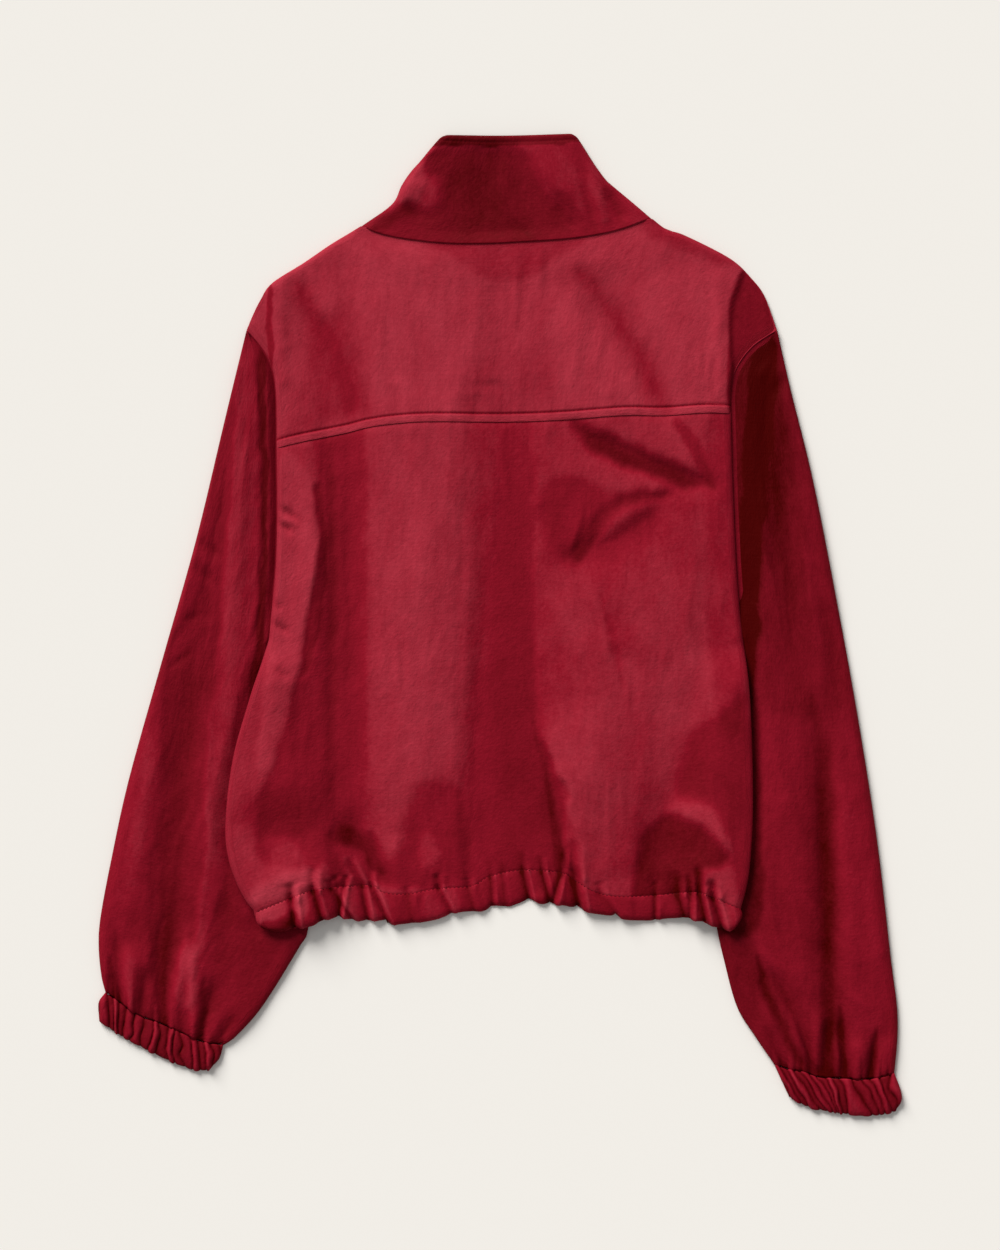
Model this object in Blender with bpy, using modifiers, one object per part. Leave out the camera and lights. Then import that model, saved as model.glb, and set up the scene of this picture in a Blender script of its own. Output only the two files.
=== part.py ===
"""A cropped bomber jacket laid flat on its front, back up.

+X is to the right as the back is seen, +Y towards the collar, +Z up, and z = 0 is the surface that it lies on.
Tables are in millimetres. Every piece of cloth is a wall of even thickness that follows one surface function:
a flat tube goes over the top from its left fold to its right fold, and back underneath.
"""

import math

import bpy
import numpy as np

MM = 0.001

# Cloth and laying-out sizes, mm
WALL = 1.5            # cloth wall
SEAM_GAP = 0.3        # between two pieces that are sewn together
FOLD_RADIUS = 3.2     # how far a folded side takes to reach its full height
FOLD_HEIGHT = 2.2     # height of a folded edge's middle over what it lies on
HOLLOW = 2.5          # air between an upper and a lower layer
HOLLOW_SWING = 1.25   # the most that folds add to it or take from it
LIFT = 7.4            # how high the body lies where a sleeve is under it
LIFT_RAMP = 42.0      # width of the slope from there down to the surface
LIFT_START = 35.0     # length of the slope below the underarm
LEAST_LIFT = 0.2      # the foot of a slope that is lower than this lies flat
UNDERARM_Y = -12.0
UNDERARM_TURN = 40.0  # length over which an open armhole edge turns into a fold
CENTRE_X = 5.0        # centre front
CAP_START = 4.0       # how far below the shoulder point the sleeve's first section lies
YOKE_BAND = 6.6       # topstitched lower edge of the yoke
YOKE_BAND_RISE = 0.7
ZIP_HALF = 9.0        # one zip tape's width
ZIP_TAPE = 1.2
HEM_ZIP_EASE = 1.0    # further gap between the casing's ends and the zip
SLIDER_LENGTH = 13.0
SLIDER_WIDTH = 9.0
SLIDER_HEIGHT = 3.2

# Outlines, (x, y), each from top to bottom or from left to right
SHOULDER_LEFT = ((-198, 230), (-193, 242), (-187, 254), (-178, 267), (-153, 283), (-131, 298), (-108, 311.5))
SHOULDER_RIGHT = ((118, 317.5), (130, 309), (145, 304), (180, 286), (197, 270), (207, 256), (216.5, 230))
NECK_BACK = ((-108, 311.5), (-96, 306), (-76, 301.5), (-45, 298), (-14, 297.5), (18, 299), (50, 301),
             (76, 304.5), (97, 309.5), (118, 317.5))
NECK_FRONT = ((-108, 311.5), (-88, 285), (-50, 262), (5, 254), (60, 264), (98, 288), (118, 317.5))
YOKE_SEAM = ((-174.5, 138), (-154, 143), (-122, 149.5), (-98, 155), (-60, 158.5), (0, 158.5), (48, 160),
             (96, 163.5), (128, 163.5), (160, 165.5), (180.5, 165))
ARMHOLE_LEFT = ((-198, 230), (-190.5, 222), (-182.5, 211), (-177, 197), (-175, 180), (-174.5, 160),
                (-174.5, 138), (-174, 95), (-175, 50), (-178, 15), (-181, UNDERARM_Y))
ARMHOLE_RIGHT = ((216.5, 230), (208, 225), (198, 218), (188.5, 207), (182.5, 195), (180.5, 182), (180.5, 165),
                 (182, 110), (184.5, 50), (187, 15), (190, UNDERARM_Y))
YOKE_END = 6          # row of both armhole tables where the yoke seam meets it
UNDERARM_ROW = 10     # their last row
SIDE_LEFT = ((-181, UNDERARM_Y), (-186.5, -31), (-196, -60), (-208.5, -106), (-214, -155), (-211, -185),
             (-201, -210), (-191, -224))
SIDE_RIGHT = ((190, UNDERARM_Y), (192.5, -31), (195, -60), (196.8, -106), (197, -150), (195, -185), (192, -205),
              (187.5, -221))
HEM_SEAM = ((-191, -224), (-174, -217), (-153, -209), (-103, -204), (-50, -206), (-22, -202), (0, -195),
            (25, -192), (47, -194), (74, -205), (119, -210.5), (151, -208.5), (170, -213), (187.5, -221))
HEM_EDGE = ((-182, -237), (-171, -240), (-146, -234.5), (-124, -228), (-85, -233.5), (-54, -230.5),
            (-33, -224), (-4, -219), (25, -214.5), (47, -218), (67, -223.5), (117, -230.5), (150, -231),
            (170, -236), (182, -237))
SLEEVE_LEFT_OUTER = ((-198, 230), (-215, 160), (-237.5, 66), (-264, -28), (-290, -121), (-304, -185),
                     (-312, -228), (-313.5, -250), (-311.5, -273), (-308, -287))
SLEEVE_LEFT_INNER = ((-182, UNDERARM_Y), (-187.5, -29), (-193, -46), (-183, -80), (-160, -140), (-147, -195),
                     (-150, -238), (-157, -252), (-185, -297), (-205, -320), (-216, -328))
SLEEVE_RIGHT_INNER = ((191, UNDERARM_Y), (194, -29), (195.5, -46), (187, -80), (172, -140), (164, -195),
                      (169, -234), (175, -262), (185, -298), (199, -321), (214, -343))
SLEEVE_RIGHT_OUTER = ((216.5, 230), (227, 184), (244.5, 113), (263, 19), (280, -75), (294.5, -168),
                      (305.5, -262), (310, -297), (310.5, -322), (308, -350))
CUFF_SEAM_LEFT = ((-308, -287), (-296, -295.5), (-266, -311), (-234, -325), (-216, -328))
CUFF_EDGE_LEFT = ((-313, -309), (-300, -318.5), (-266, -337), (-239, -347.5), (-228, -348))
CUFF_OUTER_LEFT = ((-308, -287), (-313.5, -295), (-313, -309))
CUFF_INNER_LEFT = ((-216, -328), (-219.5, -339), (-228, -348))
CUFF_SEAM_RIGHT = ((214, -343), (237, -349), (260, -354), (284, -355), (308, -350))
CUFF_EDGE_RIGHT = ((226, -369), (241, -376.5), (266, -381.5), (292, -383), (309, -380))
CUFF_INNER_RIGHT = ((214, -343), (220, -356), (226, -369))
CUFF_OUTER_RIGHT = ((308, -350), (314, -368), (309, -380))
COLLAR_LEFT = ((-49, 383), (-52, 374), (-64, 360), (-77, 343), (-86, 328), (-108, 311.5))
COLLAR_RIGHT = ((58, 383), (64, 374), (74, 359), (89, 343), (104, 330), (118, 317.5))
COLLAR_TOP_BACK = ((-49, 383), (5, 383.5), (58, 383))
COLLAR_TOP_FRONT = ((-49, 383), (-25, 366), (5, 361), (35, 366), (58, 383))

# Folds of the upper layer, mm. Columns: x0, y0, x1, y1, half_width, height; a soft ridge (+) or trough (-) runs
# from (x0, y0) to (x1, y1)
BODY_FOLDS = (
    (-132, 144, -120, -192, 13, -1.6),     # long trough left of the middle
    (-160, 120, -166, -90, 12, 1.0),       # ridge along the left side
    (-74, 130, -70, -160, 32, 1.3),        # broad ridge, middle left
    (4, 144, 2, -196, 22, -1.5),           # trough down the centre
    (55, 152, 149, 112, 9, -2.0),          # drag line under the yoke
    (75, 132, 138, 134, 12, 0.8),
    (129, 101, 63, 50, 10, -1.8),          # second drag line
    (120, 60, 130, -60, 26, 1.2),          # broad ridge on the right
    (71, 261, 133, 175, 11, -1.3),         # yoke, right
    (40, 250, 95, 175, 14, 0.7),
    (-163, 261, -109, 167, 14, -1.2),      # yoke, left
    (-60, 270, -70, 180, 30, 0.8),
    (25, -70, 53, -133, 5, -1.6),          # sharp crease above the hem
    (56, -35, 64, -160, 16, 1.2),
    (156, -94, 110, -192, 8, -1.5),        # crease down to the right of the hem
    (140, -160, 150, -176, 16, 1.2),
    (-190, -137, -148, -176, 12, -1.0),    # left of the hem
    (-183, -199, -148, -205, 9, 1.0),
    (-132, -160, -93, -195, 8, -1.5),
    (82, 19, 94, -12, 6, -0.7),
)
SLEEVE_LEFT_FOLDS = (
    (-189, 222, -187, -20, 6, -2.2),       # deep trough beside the body
    (-206, 150, -222, -60, 12, 0.9),
    (-243, 0, -262, -240, 10, -1.2),
    (-270, -60, -292, -210, 12, 0.9),
    (-216, -60, -228, -250, 11, 0.8),
    (-234, 72, -211, 46, 4, -0.7),         # elbow wrinkles
    (-238, 60, -214, 30, 4, 0.5),
    (-299, -236, -301, -288, 4, -1.3),     # pleats that fan out from the cuff
    (-283, -240, -284, -296, 5, 1.0),
    (-264, -262, -266, -309, 4, -1.3),
    (-250, -262, -251, -312, 5, 1.0),
    (-238, -280, -236, -322, 4, -1.3),
)
SLEEVE_RIGHT_FOLDS = (
    (196, 200, 200, -43, 7, -2.2),         # deep trough beside the body
    (211, 160, 250, -75, 9, -1.6),
    (250, -75, 262, -340, 9, -1.4),
    (236, 120, 276, -90, 9, 0.9),
    (222, -80, 236, -250, 12, 0.9),
    (284, -130, 296, -300, 9, 0.8),
    (212, -286, 238, -346, 4, -1.3),       # creases that fan out from the cuff
    (250, -300, 254, -350, 5, 1.0),
    (264, -318, 266, -352, 4, -1.3),
    (279, -310, 280, -352, 5, 1.0),
    (293, -325, 294, -350, 4, -1.2),
)
COLLAR_FOLDS = (
    (-10, 380, -20, 300, 16, -1.0),        # hollow in the middle
    (-60, 352, -72, 322, 9, 0.9),
    (42, 374, 70, 330, 13, 1.0),
    (25, 362, 52, 306, 5, -0.8),
    (78, 345, 96, 318, 6, -0.8),
)

# Gathers: how many waves on one side, their height, and how far they move the free edge, mm
HEM_GATHERS = {"waves": 20, "height": 0.8, "edge": 1.6}
CUFF_GATHERS = {"waves": 13, "height": 0.8, "edge": 0.9}

# Colours of the finished cloth and metal
CRIMSON = (0.28, 0.018, 0.036)
CRIMSON_DEEP = (0.22, 0.012, 0.026)
TAPE_RED = (0.16, 0.010, 0.020)
DARK_METAL = (0.20, 0.19, 0.19)

ROLL = 0.26           # share of a side, of 2, that its rolled edge takes in the loop parameter
ROLL_STEPS = 2
EDGE = ROLL * SEAM_GAP / 2 / FOLD_RADIUS   # loop parameter half a seam gap in from an edge
TINY = 1e-3


def smooth(t):
    t = min(max(t, 0.0), 1.0)
    return t * t * (3.0 - 2.0 * t)


def rounded(points, steps):
    """A table's points with steps - 1 more between each two, on a smooth curve through them."""
    p = np.array(points, float)
    p = np.vstack([2 * p[0] - p[1], p, 2 * p[-1] - p[-2]])
    line = []
    for k in range(1, len(p) - 2):
        for t in np.arange(steps) / steps:
            line.append(0.5 * (2 * p[k] + (p[k + 1] - p[k - 1]) * t
                               + (2 * p[k - 1] - 5 * p[k] + 4 * p[k + 1] - p[k + 2]) * t ** 2
                               + (3 * p[k] - p[k - 1] - 3 * p[k + 1] + p[k + 2]) * t ** 3))
    return np.array(line + [p[-2]])


class Edge:
    """An edge through its nodes, straight between them. Pieces that meet along it share the nodes."""

    def __init__(self, nodes, shares=None):
        self.nodes = np.array(nodes, float)
        self.shares = np.linspace(0, 1, len(self.nodes)) if shares is None else np.array(shares, float)

    def __call__(self, t):
        return np.array([np.interp(t, self.shares, self.nodes[:, axis]) for axis in (0, 1)])


def along(points, shares, steps=10):
    """Points on the smooth curve through a table, at shares of its length."""
    line = rounded(points, steps)
    length = np.concatenate([[0], np.cumsum(np.linalg.norm(np.diff(line, axis=0), axis=1))])
    at = np.array(shares) * length[-1]
    return np.stack([np.interp(at, length, line[:, axis]) for axis in (0, 1)], axis=1)


def at_x(points, x):
    line = rounded(points, 10)
    return np.interp(x, line[:, 0], line[:, 1])


def at_y(table, y):
    """The edge's x at a height, straight between the table's points."""
    line = np.array(table, float)[::-1]
    return np.interp(y, line[:, 1], line[:, 0])


def patch(left, right, top, bottom):
    """Plan position inside four edges, as a function of across (0 to 1) and down (0 to 1)."""
    corners = [[top(0), top(1)], [bottom(0), bottom(1)]]

    def at(u, v):
        ruled = (1 - u) * left(v) + u * right(v) + (1 - v) * top(u) + v * bottom(u)
        bilinear = ((1 - v) * ((1 - u) * corners[0][0] + u * corners[0][1])
                    + v * ((1 - u) * corners[1][0] + u * corners[1][1]))
        return ruled - bilinear

    return at


def rolled(w, share, curl):
    """Near an edge, at loop parameter w from it: (share of the width in from the edge, share of the height)."""
    if w >= ROLL:
        return share + (1 - 2 * share) * (w - ROLL) / (2 - 2 * ROLL), 1.0
    angle = math.pi / 2 * w / ROLL
    return (share * (curl * (1 - math.cos(angle)) + (1 - curl) * w / ROLL), 1 - curl * (1 - math.sin(angle)))


def across(w, share, curls):
    """Share of the width and of the height at w, from 0 at the left edge to 2 at the right edge."""
    if w <= 1:
        return rolled(w, share, curls[0])
    inset, rise = rolled(2 - w, share, curls[1])
    return 1 - inset, rise


def near_edge(t, share, curl):
    """Share of the way and of the height at t, from 0 at an edge that may be rolled to 1 at an open one."""
    return across(2 * t, share, (curl, 0.0))


def parameter(u, share):
    """The loop parameter at a share of the width that is clear of the rolled edges."""
    return ROLL + (u - share) / (1 - 2 * share) * (2 - 2 * ROLL)


def loop_steps(flats):
    """Loop parameters from left to right, the rolled edges in a few steps each."""
    edge = [ROLL * k / ROLL_STEPS for k in range(ROLL_STEPS)]
    flat = list(np.linspace(ROLL, 2 - ROLL, flats + 1))
    return edge + flat + [2 - w for w in reversed(edge)]


def flat_shares(flats, share):
    """Shares of the width where loop_steps has its columns, the rolled edges as one step each."""
    return [0.0] + list(np.linspace(share, 1 - share, flats + 1)) + [1.0]


def fold_sum(folds, x, y):
    total = 0.0
    for x0, y0, x1, y1, half_width, height in folds:
        dx, dy = x1 - x0, y1 - y0
        t = ((x - x0) * dx + (y - y0) * dy) / (dx * dx + dy * dy)
        near = min(max(t, 0.0), 1.0)
        distance = math.hypot(x - x0 - near * dx, y - y0 - near * dy)
        ends = 0.45 + 0.55 * math.sin(math.pi * near)
        total += height * ends * math.exp(-0.5 * (distance / (0.6 * half_width)) ** 2)
    return total


def hollow(folds, x, y):
    return HOLLOW + HOLLOW_SWING * math.tanh(fold_sum(folds, x, y) / HOLLOW_SWING)


INNER_LEFT = rounded(SLEEVE_LEFT_INNER, 6)[::-1]
INNER_RIGHT = rounded(SLEEVE_RIGHT_INNER, 6)[::-1]


def lift(x, y):
    """Height of the body's underside: it climbs onto the sleeve that lies under each side."""
    below = smooth((UNDERARM_Y - y) / LIFT_START)
    left = smooth((np.interp(y, INNER_LEFT[:, 1], INNER_LEFT[:, 0]) + 4 + LIFT_RAMP - x) / LIFT_RAMP)
    right = smooth((x - np.interp(y, INNER_RIGHT[:, 1], INNER_RIGHT[:, 0]) + 4 + LIFT_RAMP) / LIFT_RAMP)
    height = LIFT * below * max(left, right)
    return height if height > LEAST_LIFT else 0.0


def underarm_curl(y):
    """Side edges lie open along the armhole and are folded below the underarm."""
    return smooth((UNDERARM_Y + UNDERARM_TURN - y) / UNDERARM_TURN)


def folded_edge(y):
    return 1.0


def layered(place, share, folds, under=None, curls=(folded_edge, folded_edge), extra=None):
    """A flat tube's surface: a from 0 to 2 is its upper layer, left to right, and from 2 to 4 its lower one."""
    def surface(a, b):
        a %= 4
        upper = a <= 2
        v = min(max(b, 0.0), 1.0)
        u, rise = across(a if upper else 4 - a, share, [curl(place(side, v, upper)[1])
                                                        for side, curl in enumerate(curls)])
        x, y = place(u, b, upper)
        floor = under(x, y) if under else 0.0
        middle = floor + FOLD_HEIGHT
        height = floor + 2 * WALL + hollow(folds, x, y) if upper else floor
        z = middle + (height - middle) * rise
        if extra:
            x, y, z = extra(a, b, x, y, z, upper, rise)
        return np.array([x, y, z])
    return surface


def normal_at(surface, a, b):
    """Outward normal: b runs down the garment and a over the top from left to right."""
    da = surface(a + TINY, b) - surface(a - TINY, b)
    db = surface(a, b + TINY) - surface(a, b - TINY)
    n = np.cross(db, da)
    return n / np.linalg.norm(n)


def wall(name, surface, a_steps, b_steps, closed=False):
    """A cloth wall of even thickness inside a surface, as one closed mesh."""
    outer = [[surface(a, b) for a in a_steps] for b in b_steps]
    inner = [[point - WALL * normal_at(surface, a, b) for a, point in zip(a_steps, row)]
             for b, row in zip(b_steps, outer)]
    columns, rows = len(a_steps), len(b_steps)
    points = [point * MM for layer in (outer, inner) for row in layer for point in row]
    shift = rows * columns

    def index(r, c):
        return r * columns + c % columns

    faces = []
    spans = range(columns if closed else columns - 1)
    for r in range(rows - 1):
        for c in spans:
            quad = (index(r, c), index(r + 1, c), index(r + 1, c + 1), index(r, c + 1))
            faces += [quad, tuple(shift + k for k in reversed(quad))]
    rims = [((r, c + near), (r, c + far)) for r, near, far in ((0, 0, 1), (rows - 1, 1, 0)) for c in spans]
    if not closed:
        rims += [((r + near, c), (r + far, c)) for c, near, far in ((0, 1, 0), (columns - 1, 0, 1))
                 for r in range(rows - 1)]
    for near, far in rims:
        i, j = index(*near), index(*far)
        faces.append((i, j, shift + j, shift + i))
    mesh = bpy.data.meshes.new(name)
    mesh.from_pydata(points, [], faces)
    mesh.shade_smooth()
    mesh.set_sharp_from_angle(angle=math.radians(50))
    piece = bpy.data.objects.new(name, mesh)
    mesh.materials.append(FINISHES[name])
    JACKET.objects.link(piece)


def finish(name, colour, roughness, metallic=0.0):
    material = bpy.data.materials.new(name)
    material.use_nodes = True
    shader = material.node_tree.nodes["Principled BSDF"]
    shader.inputs["Base Color"].default_value = (*colour, 1)
    shader.inputs["Roughness"].default_value = roughness
    shader.inputs["Metallic"].default_value = metallic
    return material


def box(name, low, high, bevel):
    bpy.ops.mesh.primitive_cube_add(size=1)
    piece = bpy.context.object
    piece.name = name
    piece.location = [MM * (a + b) / 2 for a, b in zip(low, high)]
    piece.scale = [MM * (b - a) for a, b in zip(low, high)]
    bpy.ops.object.transform_apply(location=False, rotation=False, scale=True)
    rounding = piece.modifiers.new("edges", "BEVEL")
    rounding.width = bevel * MM
    rounding.segments = 1
    piece.data.materials.append(FINISHES[name])
    for collection in piece.users_collection:
        collection.objects.unlink(piece)
    JACKET.objects.link(piece)


# ---- body -----------------------------------------------------------------------------------------------

# Shares of a piece's width or length that a rolled edge takes, and the columns between the rolled edges
BODY_SHARE = FOLD_RADIUS / 380
BACK_FLATS = 22
COLLAR_SHARE = FOLD_RADIUS / 150
COLLAR_FLATS = 14
SHOULDER_SHARE = FOLD_RADIUS / 150
SHOULDER_COLUMNS = 4
FRONT_SHARE = FOLD_RADIUS / 185
TOP_SHARE = 1.8 * FOLD_RADIUS / 450

HEM_SHARES = flat_shares(BACK_FLATS, BODY_SHARE)
NECK_SHARES = flat_shares(COLLAR_FLATS, COLLAR_SHARE)
ZIP_SHARE = 0.46       # share of the front neckline, from either side, where the zip begins


def side_nodes(armhole, side, start):
    """An armhole table's points from a row on, then the side seam's."""
    return [*armhole[start:], *side[1:]]


def back_panel():
    left = side_nodes(ARMHOLE_LEFT, SIDE_LEFT, YOKE_END)
    right = side_nodes(ARMHOLE_RIGHT, SIDE_RIGHT, YOKE_END)
    place = patch(Edge(left), Edge(right), Edge(along(YOKE_SEAM, HEM_SHARES), HEM_SHARES),
                  Edge(along(HEM_SEAM, HEM_SHARES), HEM_SHARES))
    surface = layered(lambda u, v, upper: place(u, v), BODY_SHARE, BODY_FOLDS, lift,
                      (underarm_curl, underarm_curl))
    inset = SEAM_GAP / 340
    steps = loop_steps(BACK_FLATS)
    steps[0], steps[-1] = EDGE, 2 - EDGE
    halves = 2 * (len(left) - 1)
    rows = [k / halves for k in range(halves + 1)]
    rows[0], rows[-1] = inset, 1 - inset
    wall("back_panel", surface, steps, rows)


def yoke():
    """From the folded shoulders and the neck seam down to the topstitched band that stands over the back."""
    shoulder_left = along(SHOULDER_LEFT, np.linspace(0, 1, SHOULDER_COLUMNS + 1))
    shoulder_right = along(SHOULDER_RIGHT, np.linspace(0, 1, SHOULDER_COLUMNS + 1))
    neck = along(NECK_BACK, NECK_SHARES)
    nodes = [*shoulder_left[:-1], *neck, *shoulder_right[1:]]
    columns = len(nodes) - 1
    place = patch(Edge(ARMHOLE_LEFT[:YOKE_END + 1]), Edge(ARMHOLE_RIGHT[:YOKE_END + 1]), Edge(nodes),
                  Edge(along(YOKE_SEAM, np.linspace(0, 1, columns + 1))))
    neck_start, neck_end = (SHOULDER_COLUMNS + 1) / columns, 1 - (SHOULDER_COLUMNS + 1) / columns

    def surface(a, b):
        curl = max(smooth((neck_start - a) * columns), smooth((a - neck_end) * columns))
        v, rise = near_edge(b, SHOULDER_SHARE, curl)
        x, y = place(a, v)
        top = 2 * WALL + hollow(BODY_FOLDS, x, y)
        band = smooth((YOKE_BAND + 1.5 - (y - at_x(YOKE_SEAM, x))) / 1.5)
        return np.array([x, y, FOLD_HEIGHT + (top - FOLD_HEIGHT) * rise + YOKE_BAND_RISE * band])

    inset, side_inset = SEAM_GAP / 150, SEAM_GAP / 2 / 370
    rows = [EDGE / 2] + [ROLL / 2 * k / ROLL_STEPS for k in range(1, ROLL_STEPS + 1)]
    rows += [parameter(k / 6, SHOULDER_SHARE) / 2 for k in range(1, 6)]
    rows += [parameter(v, SHOULDER_SHARE) / 2 for v in (0.93, 0.955)] + [1 - inset]
    steps = [k / columns for k in range(columns + 1)]
    steps[0], steps[-1] = side_inset, 1 - side_inset
    wall("back_yoke", surface, steps, rows)


def zip_line(side):
    """x of the edges beside the zip."""
    return CENTRE_X + side * (ZIP_HALF + SEAM_GAP)


def half_neck(side, zip_x):
    """The front neckline from the neck point to the zip, and its nodes' shares of the whole neckline."""
    line = along(NECK_FRONT, NECK_SHARES)
    shares = NECK_SHARES
    if side > 0:
        line, shares = line[::-1], [1 - s for s in NECK_SHARES[::-1]]
    kept = [k for k in range(len(line)) if (line[k][0] - zip_x) * side > 4]
    return [line[k] for k in kept] + [(zip_x, at_x(NECK_FRONT, zip_x))], [shares[k] for k in kept] + [ZIP_SHARE]


def half_hem(side, columns=12):
    zip_x = zip_line(side)
    return [(x, at_x(HEM_SEAM, x)) for x in np.linspace(HEM_SEAM[0 if side < 0 else -1][0], zip_x, columns + 1)]


def front(name, side):
    """Half of the front: the layer that lies on the surface, from its folded side to the zip."""
    is_left = side < 0
    armhole, seam, shoulder = ((ARMHOLE_LEFT, SIDE_LEFT, SHOULDER_LEFT) if is_left
                               else (ARMHOLE_RIGHT, SIDE_RIGHT, SHOULDER_RIGHT))
    zip_x = zip_line(side)
    outer = side_nodes(armhole, seam, 0)
    neck, _ = half_neck(side, zip_x)
    shoulder_nodes = along(shoulder if is_left else shoulder[::-1], np.linspace(0, 1, SHOULDER_COLUMNS + 1))
    top = [*shoulder_nodes[:-1], *neck]
    columns = len(top) - 1
    hem = half_hem(side, columns)
    centre = [(zip_x, y) for y in np.linspace(top[-1][1], hem[-1][1], len(outer))]
    place = patch(Edge(outer), Edge(centre), Edge(top), Edge(hem))

    def surface(a, b):
        """a runs from 0 at the side to 1 at the zip, and b from 0 at the shoulder to 1 at the hem."""
        shoulder_curl = smooth(SHOULDER_COLUMNS + 1 - a * columns)
        v, rise_top = near_edge(b, TOP_SHARE, shoulder_curl)
        u, rise_side = near_edge(a, FRONT_SHARE, underarm_curl(place(0, v)[1]))
        x, y = place(u, v)
        return np.array([x, y, lift(x, y) + FOLD_HEIGHT * (1 - rise_top * rise_side)])

    inset = SEAM_GAP / 2 / 400
    intervals = len(outer) - 1
    folded = [EDGE / 2] + [ROLL / 2 * k / ROLL_STEPS for k in range(1, ROLL_STEPS + 1)]
    levels = [*range(1, intervals), UNDERARM_ROW + 0.5, UNDERARM_ROW + 1.5]
    rows = folded + [parameter(k / intervals, TOP_SHARE) / 2 for k in sorted(levels)] + [1 - inset]
    steps = folded + [parameter(k / columns, FRONT_SHARE) / 2 for k in range(1, columns)] + [1.0]
    if is_left:
        wall(name, lambda a, b: surface(1 - a, b), [1 - a for a in reversed(steps)], rows)
    else:
        wall(name, surface, steps, rows)


# ---- sleeves and cuffs ----------------------------------------------------------------------------------

def sleeve(name, side, armhole, outer, inner, cuff_seam, folds):
    """One piece from the armhole to the cuff, folded along its outer edge and sewn along the underarm."""
    start_y = armhole[0][1] - CAP_START
    arm = [(at_y(armhole, y) + side * SEAM_GAP * underarm_curl(y), y)
           for y in [start_y] + [p[1] for p in armhole[1:-1]] + [UNDERARM_Y + 1]]
    silhouette = rounded(outer, 10)[::-1]
    levels = [p[1] for p in arm]
    beside = [(np.interp(y, silhouette[:, 1], silhouette[:, 0]), y) for y in levels]
    lower = [p for p in silhouette[::-1] if p[1] < UNDERARM_Y - 4]
    inner_nodes = rounded(inner, 1)
    beyond = along([beside[-1], *lower], np.linspace(0, 1, len(inner_nodes)), 1)[1:]
    inside, outside = Edge([*arm, *inner_nodes[1:]]), Edge([*beside, *beyond])
    edges = (outside, inside) if side < 0 else (inside, outside)
    place = patch(*edges, Edge([edges[0](0), edges[1](0)]), Edge(along(cuff_seam, CUFF_SHARES), CUFF_SHARES))
    curls = (folded_edge, underarm_curl) if side < 0 else (underarm_curl, folded_edge)
    surface = layered(lambda u, v, upper: place(u, v), SLEEVE_SHARE, folds, None, curls)
    over, under = loop_steps(CUFF_FLATS), loop_steps(CUFF_FLATS // 3)
    if side < 0:
        steps = [EDGE - 2] + [-a for a in reversed(under[1:-1])] + over[:-1] + [2 - EDGE]
    else:
        steps = [EDGE] + over[1:] + [4 - a for a in reversed(under[1:-1])] + [4 - EDGE]
    intervals = len(inside.nodes) - 1
    rows = [k / intervals for k in range(intervals + 1)]
    rows[-1] = 1 - SEAM_GAP / 330
    wall(name, surface, steps, rows)


SLEEVE_SHARE = FOLD_RADIUS / 100
CUFF_FLATS = 12
CUFF_SHARES = flat_shares(CUFF_FLATS, SLEEVE_SHARE)


def gathered(place, share, gathers, phase, under=None):
    """A short elastic band: waves round it that die out at its seam and move its free edge in and out."""
    def waves(a, b, x, y, z, upper, rise):
        turn = math.pi * gathers["waves"] * a / 2
        wave = math.sin(turn + 0.9 * math.sin(0.37 * turn + phase))
        strength = 0.75 + 0.25 * math.sin(0.23 * turn + 2 * phase)
        grow = 0.35 + 0.65 * math.sin(math.pi * min(b + 0.2, 1.0))
        height = gathers["height"] * strength * wave * rise * grow
        z += height if upper else 0.6 * max(height, 0.0)
        y -= gathers["edge"] * strength * wave * b * b
        return x, y, z
    return layered(place, share, (), under, extra=waves)


def cuff(name, left, right, seam, edge, phase):
    place = patch(Edge(rounded(left, 2)), Edge(rounded(right, 2)), Edge(along(seam, CUFF_SHARES), CUFF_SHARES),
                  Edge(along(edge, CUFF_SHARES), CUFF_SHARES))
    surface = gathered(lambda u, v, upper: place(u, v), SLEEVE_SHARE, CUFF_GATHERS, phase)
    over = loop_steps(3 * CUFF_GATHERS["waves"] - 4)
    under = [4 - a for a in reversed(over)][1:-1]
    wall(name, surface, over + under, (SEAM_GAP / 2 / 24, 0.4, 0.75, 1.0), closed=True)


def hem_casing():
    """From zip to zip round the back, over both sleeves."""
    left = Edge((HEM_SEAM[0], (-189, -232), HEM_EDGE[0]))
    right = Edge((HEM_SEAM[-1], (187, -230), HEM_EDGE[-1]))
    seam = Edge(along(HEM_SEAM, HEM_SHARES), HEM_SHARES)
    edge = Edge(along(HEM_EDGE, HEM_SHARES), HEM_SHARES)
    place = patch(left, right, seam, edge)
    width = HEM_SEAM[-1][0] - HEM_SEAM[0][0]
    front_seam = [*half_hem(-1), *half_hem(1)[::-1]]
    lower = patch(left, right, Edge(front_seam, [(p[0] - HEM_SEAM[0][0]) / width for p in front_seam]), edge)
    surface = gathered(lambda u, v, upper: place(u, v) if upper else lower(u, v), BODY_SHARE, HEM_GATHERS, 0.4,
                       lift)
    gap = ZIP_HALF + SEAM_GAP + HEM_ZIP_EASE
    over = loop_steps(56)
    under = [4 - a for a in reversed(over)]
    zip_right = 4 - parameter((CENTRE_X + gap - HEM_SEAM[0][0]) / width, BODY_SHARE)
    zip_left = 4 - parameter((CENTRE_X - gap - HEM_SEAM[0][0]) / width, BODY_SHARE)
    right_side = [a for a in under if a < zip_right - 0.01] + [zip_right]
    left_side = [zip_left - 4] + [a - 4 for a in under if a > zip_left + 0.01]
    wall("hem_casing", surface, left_side[:-1] + over + right_side[1:], (SEAM_GAP / 25, 0.4, 0.75, 1.0))


# ---- collar and zip -------------------------------------------------------------------------------------

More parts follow.
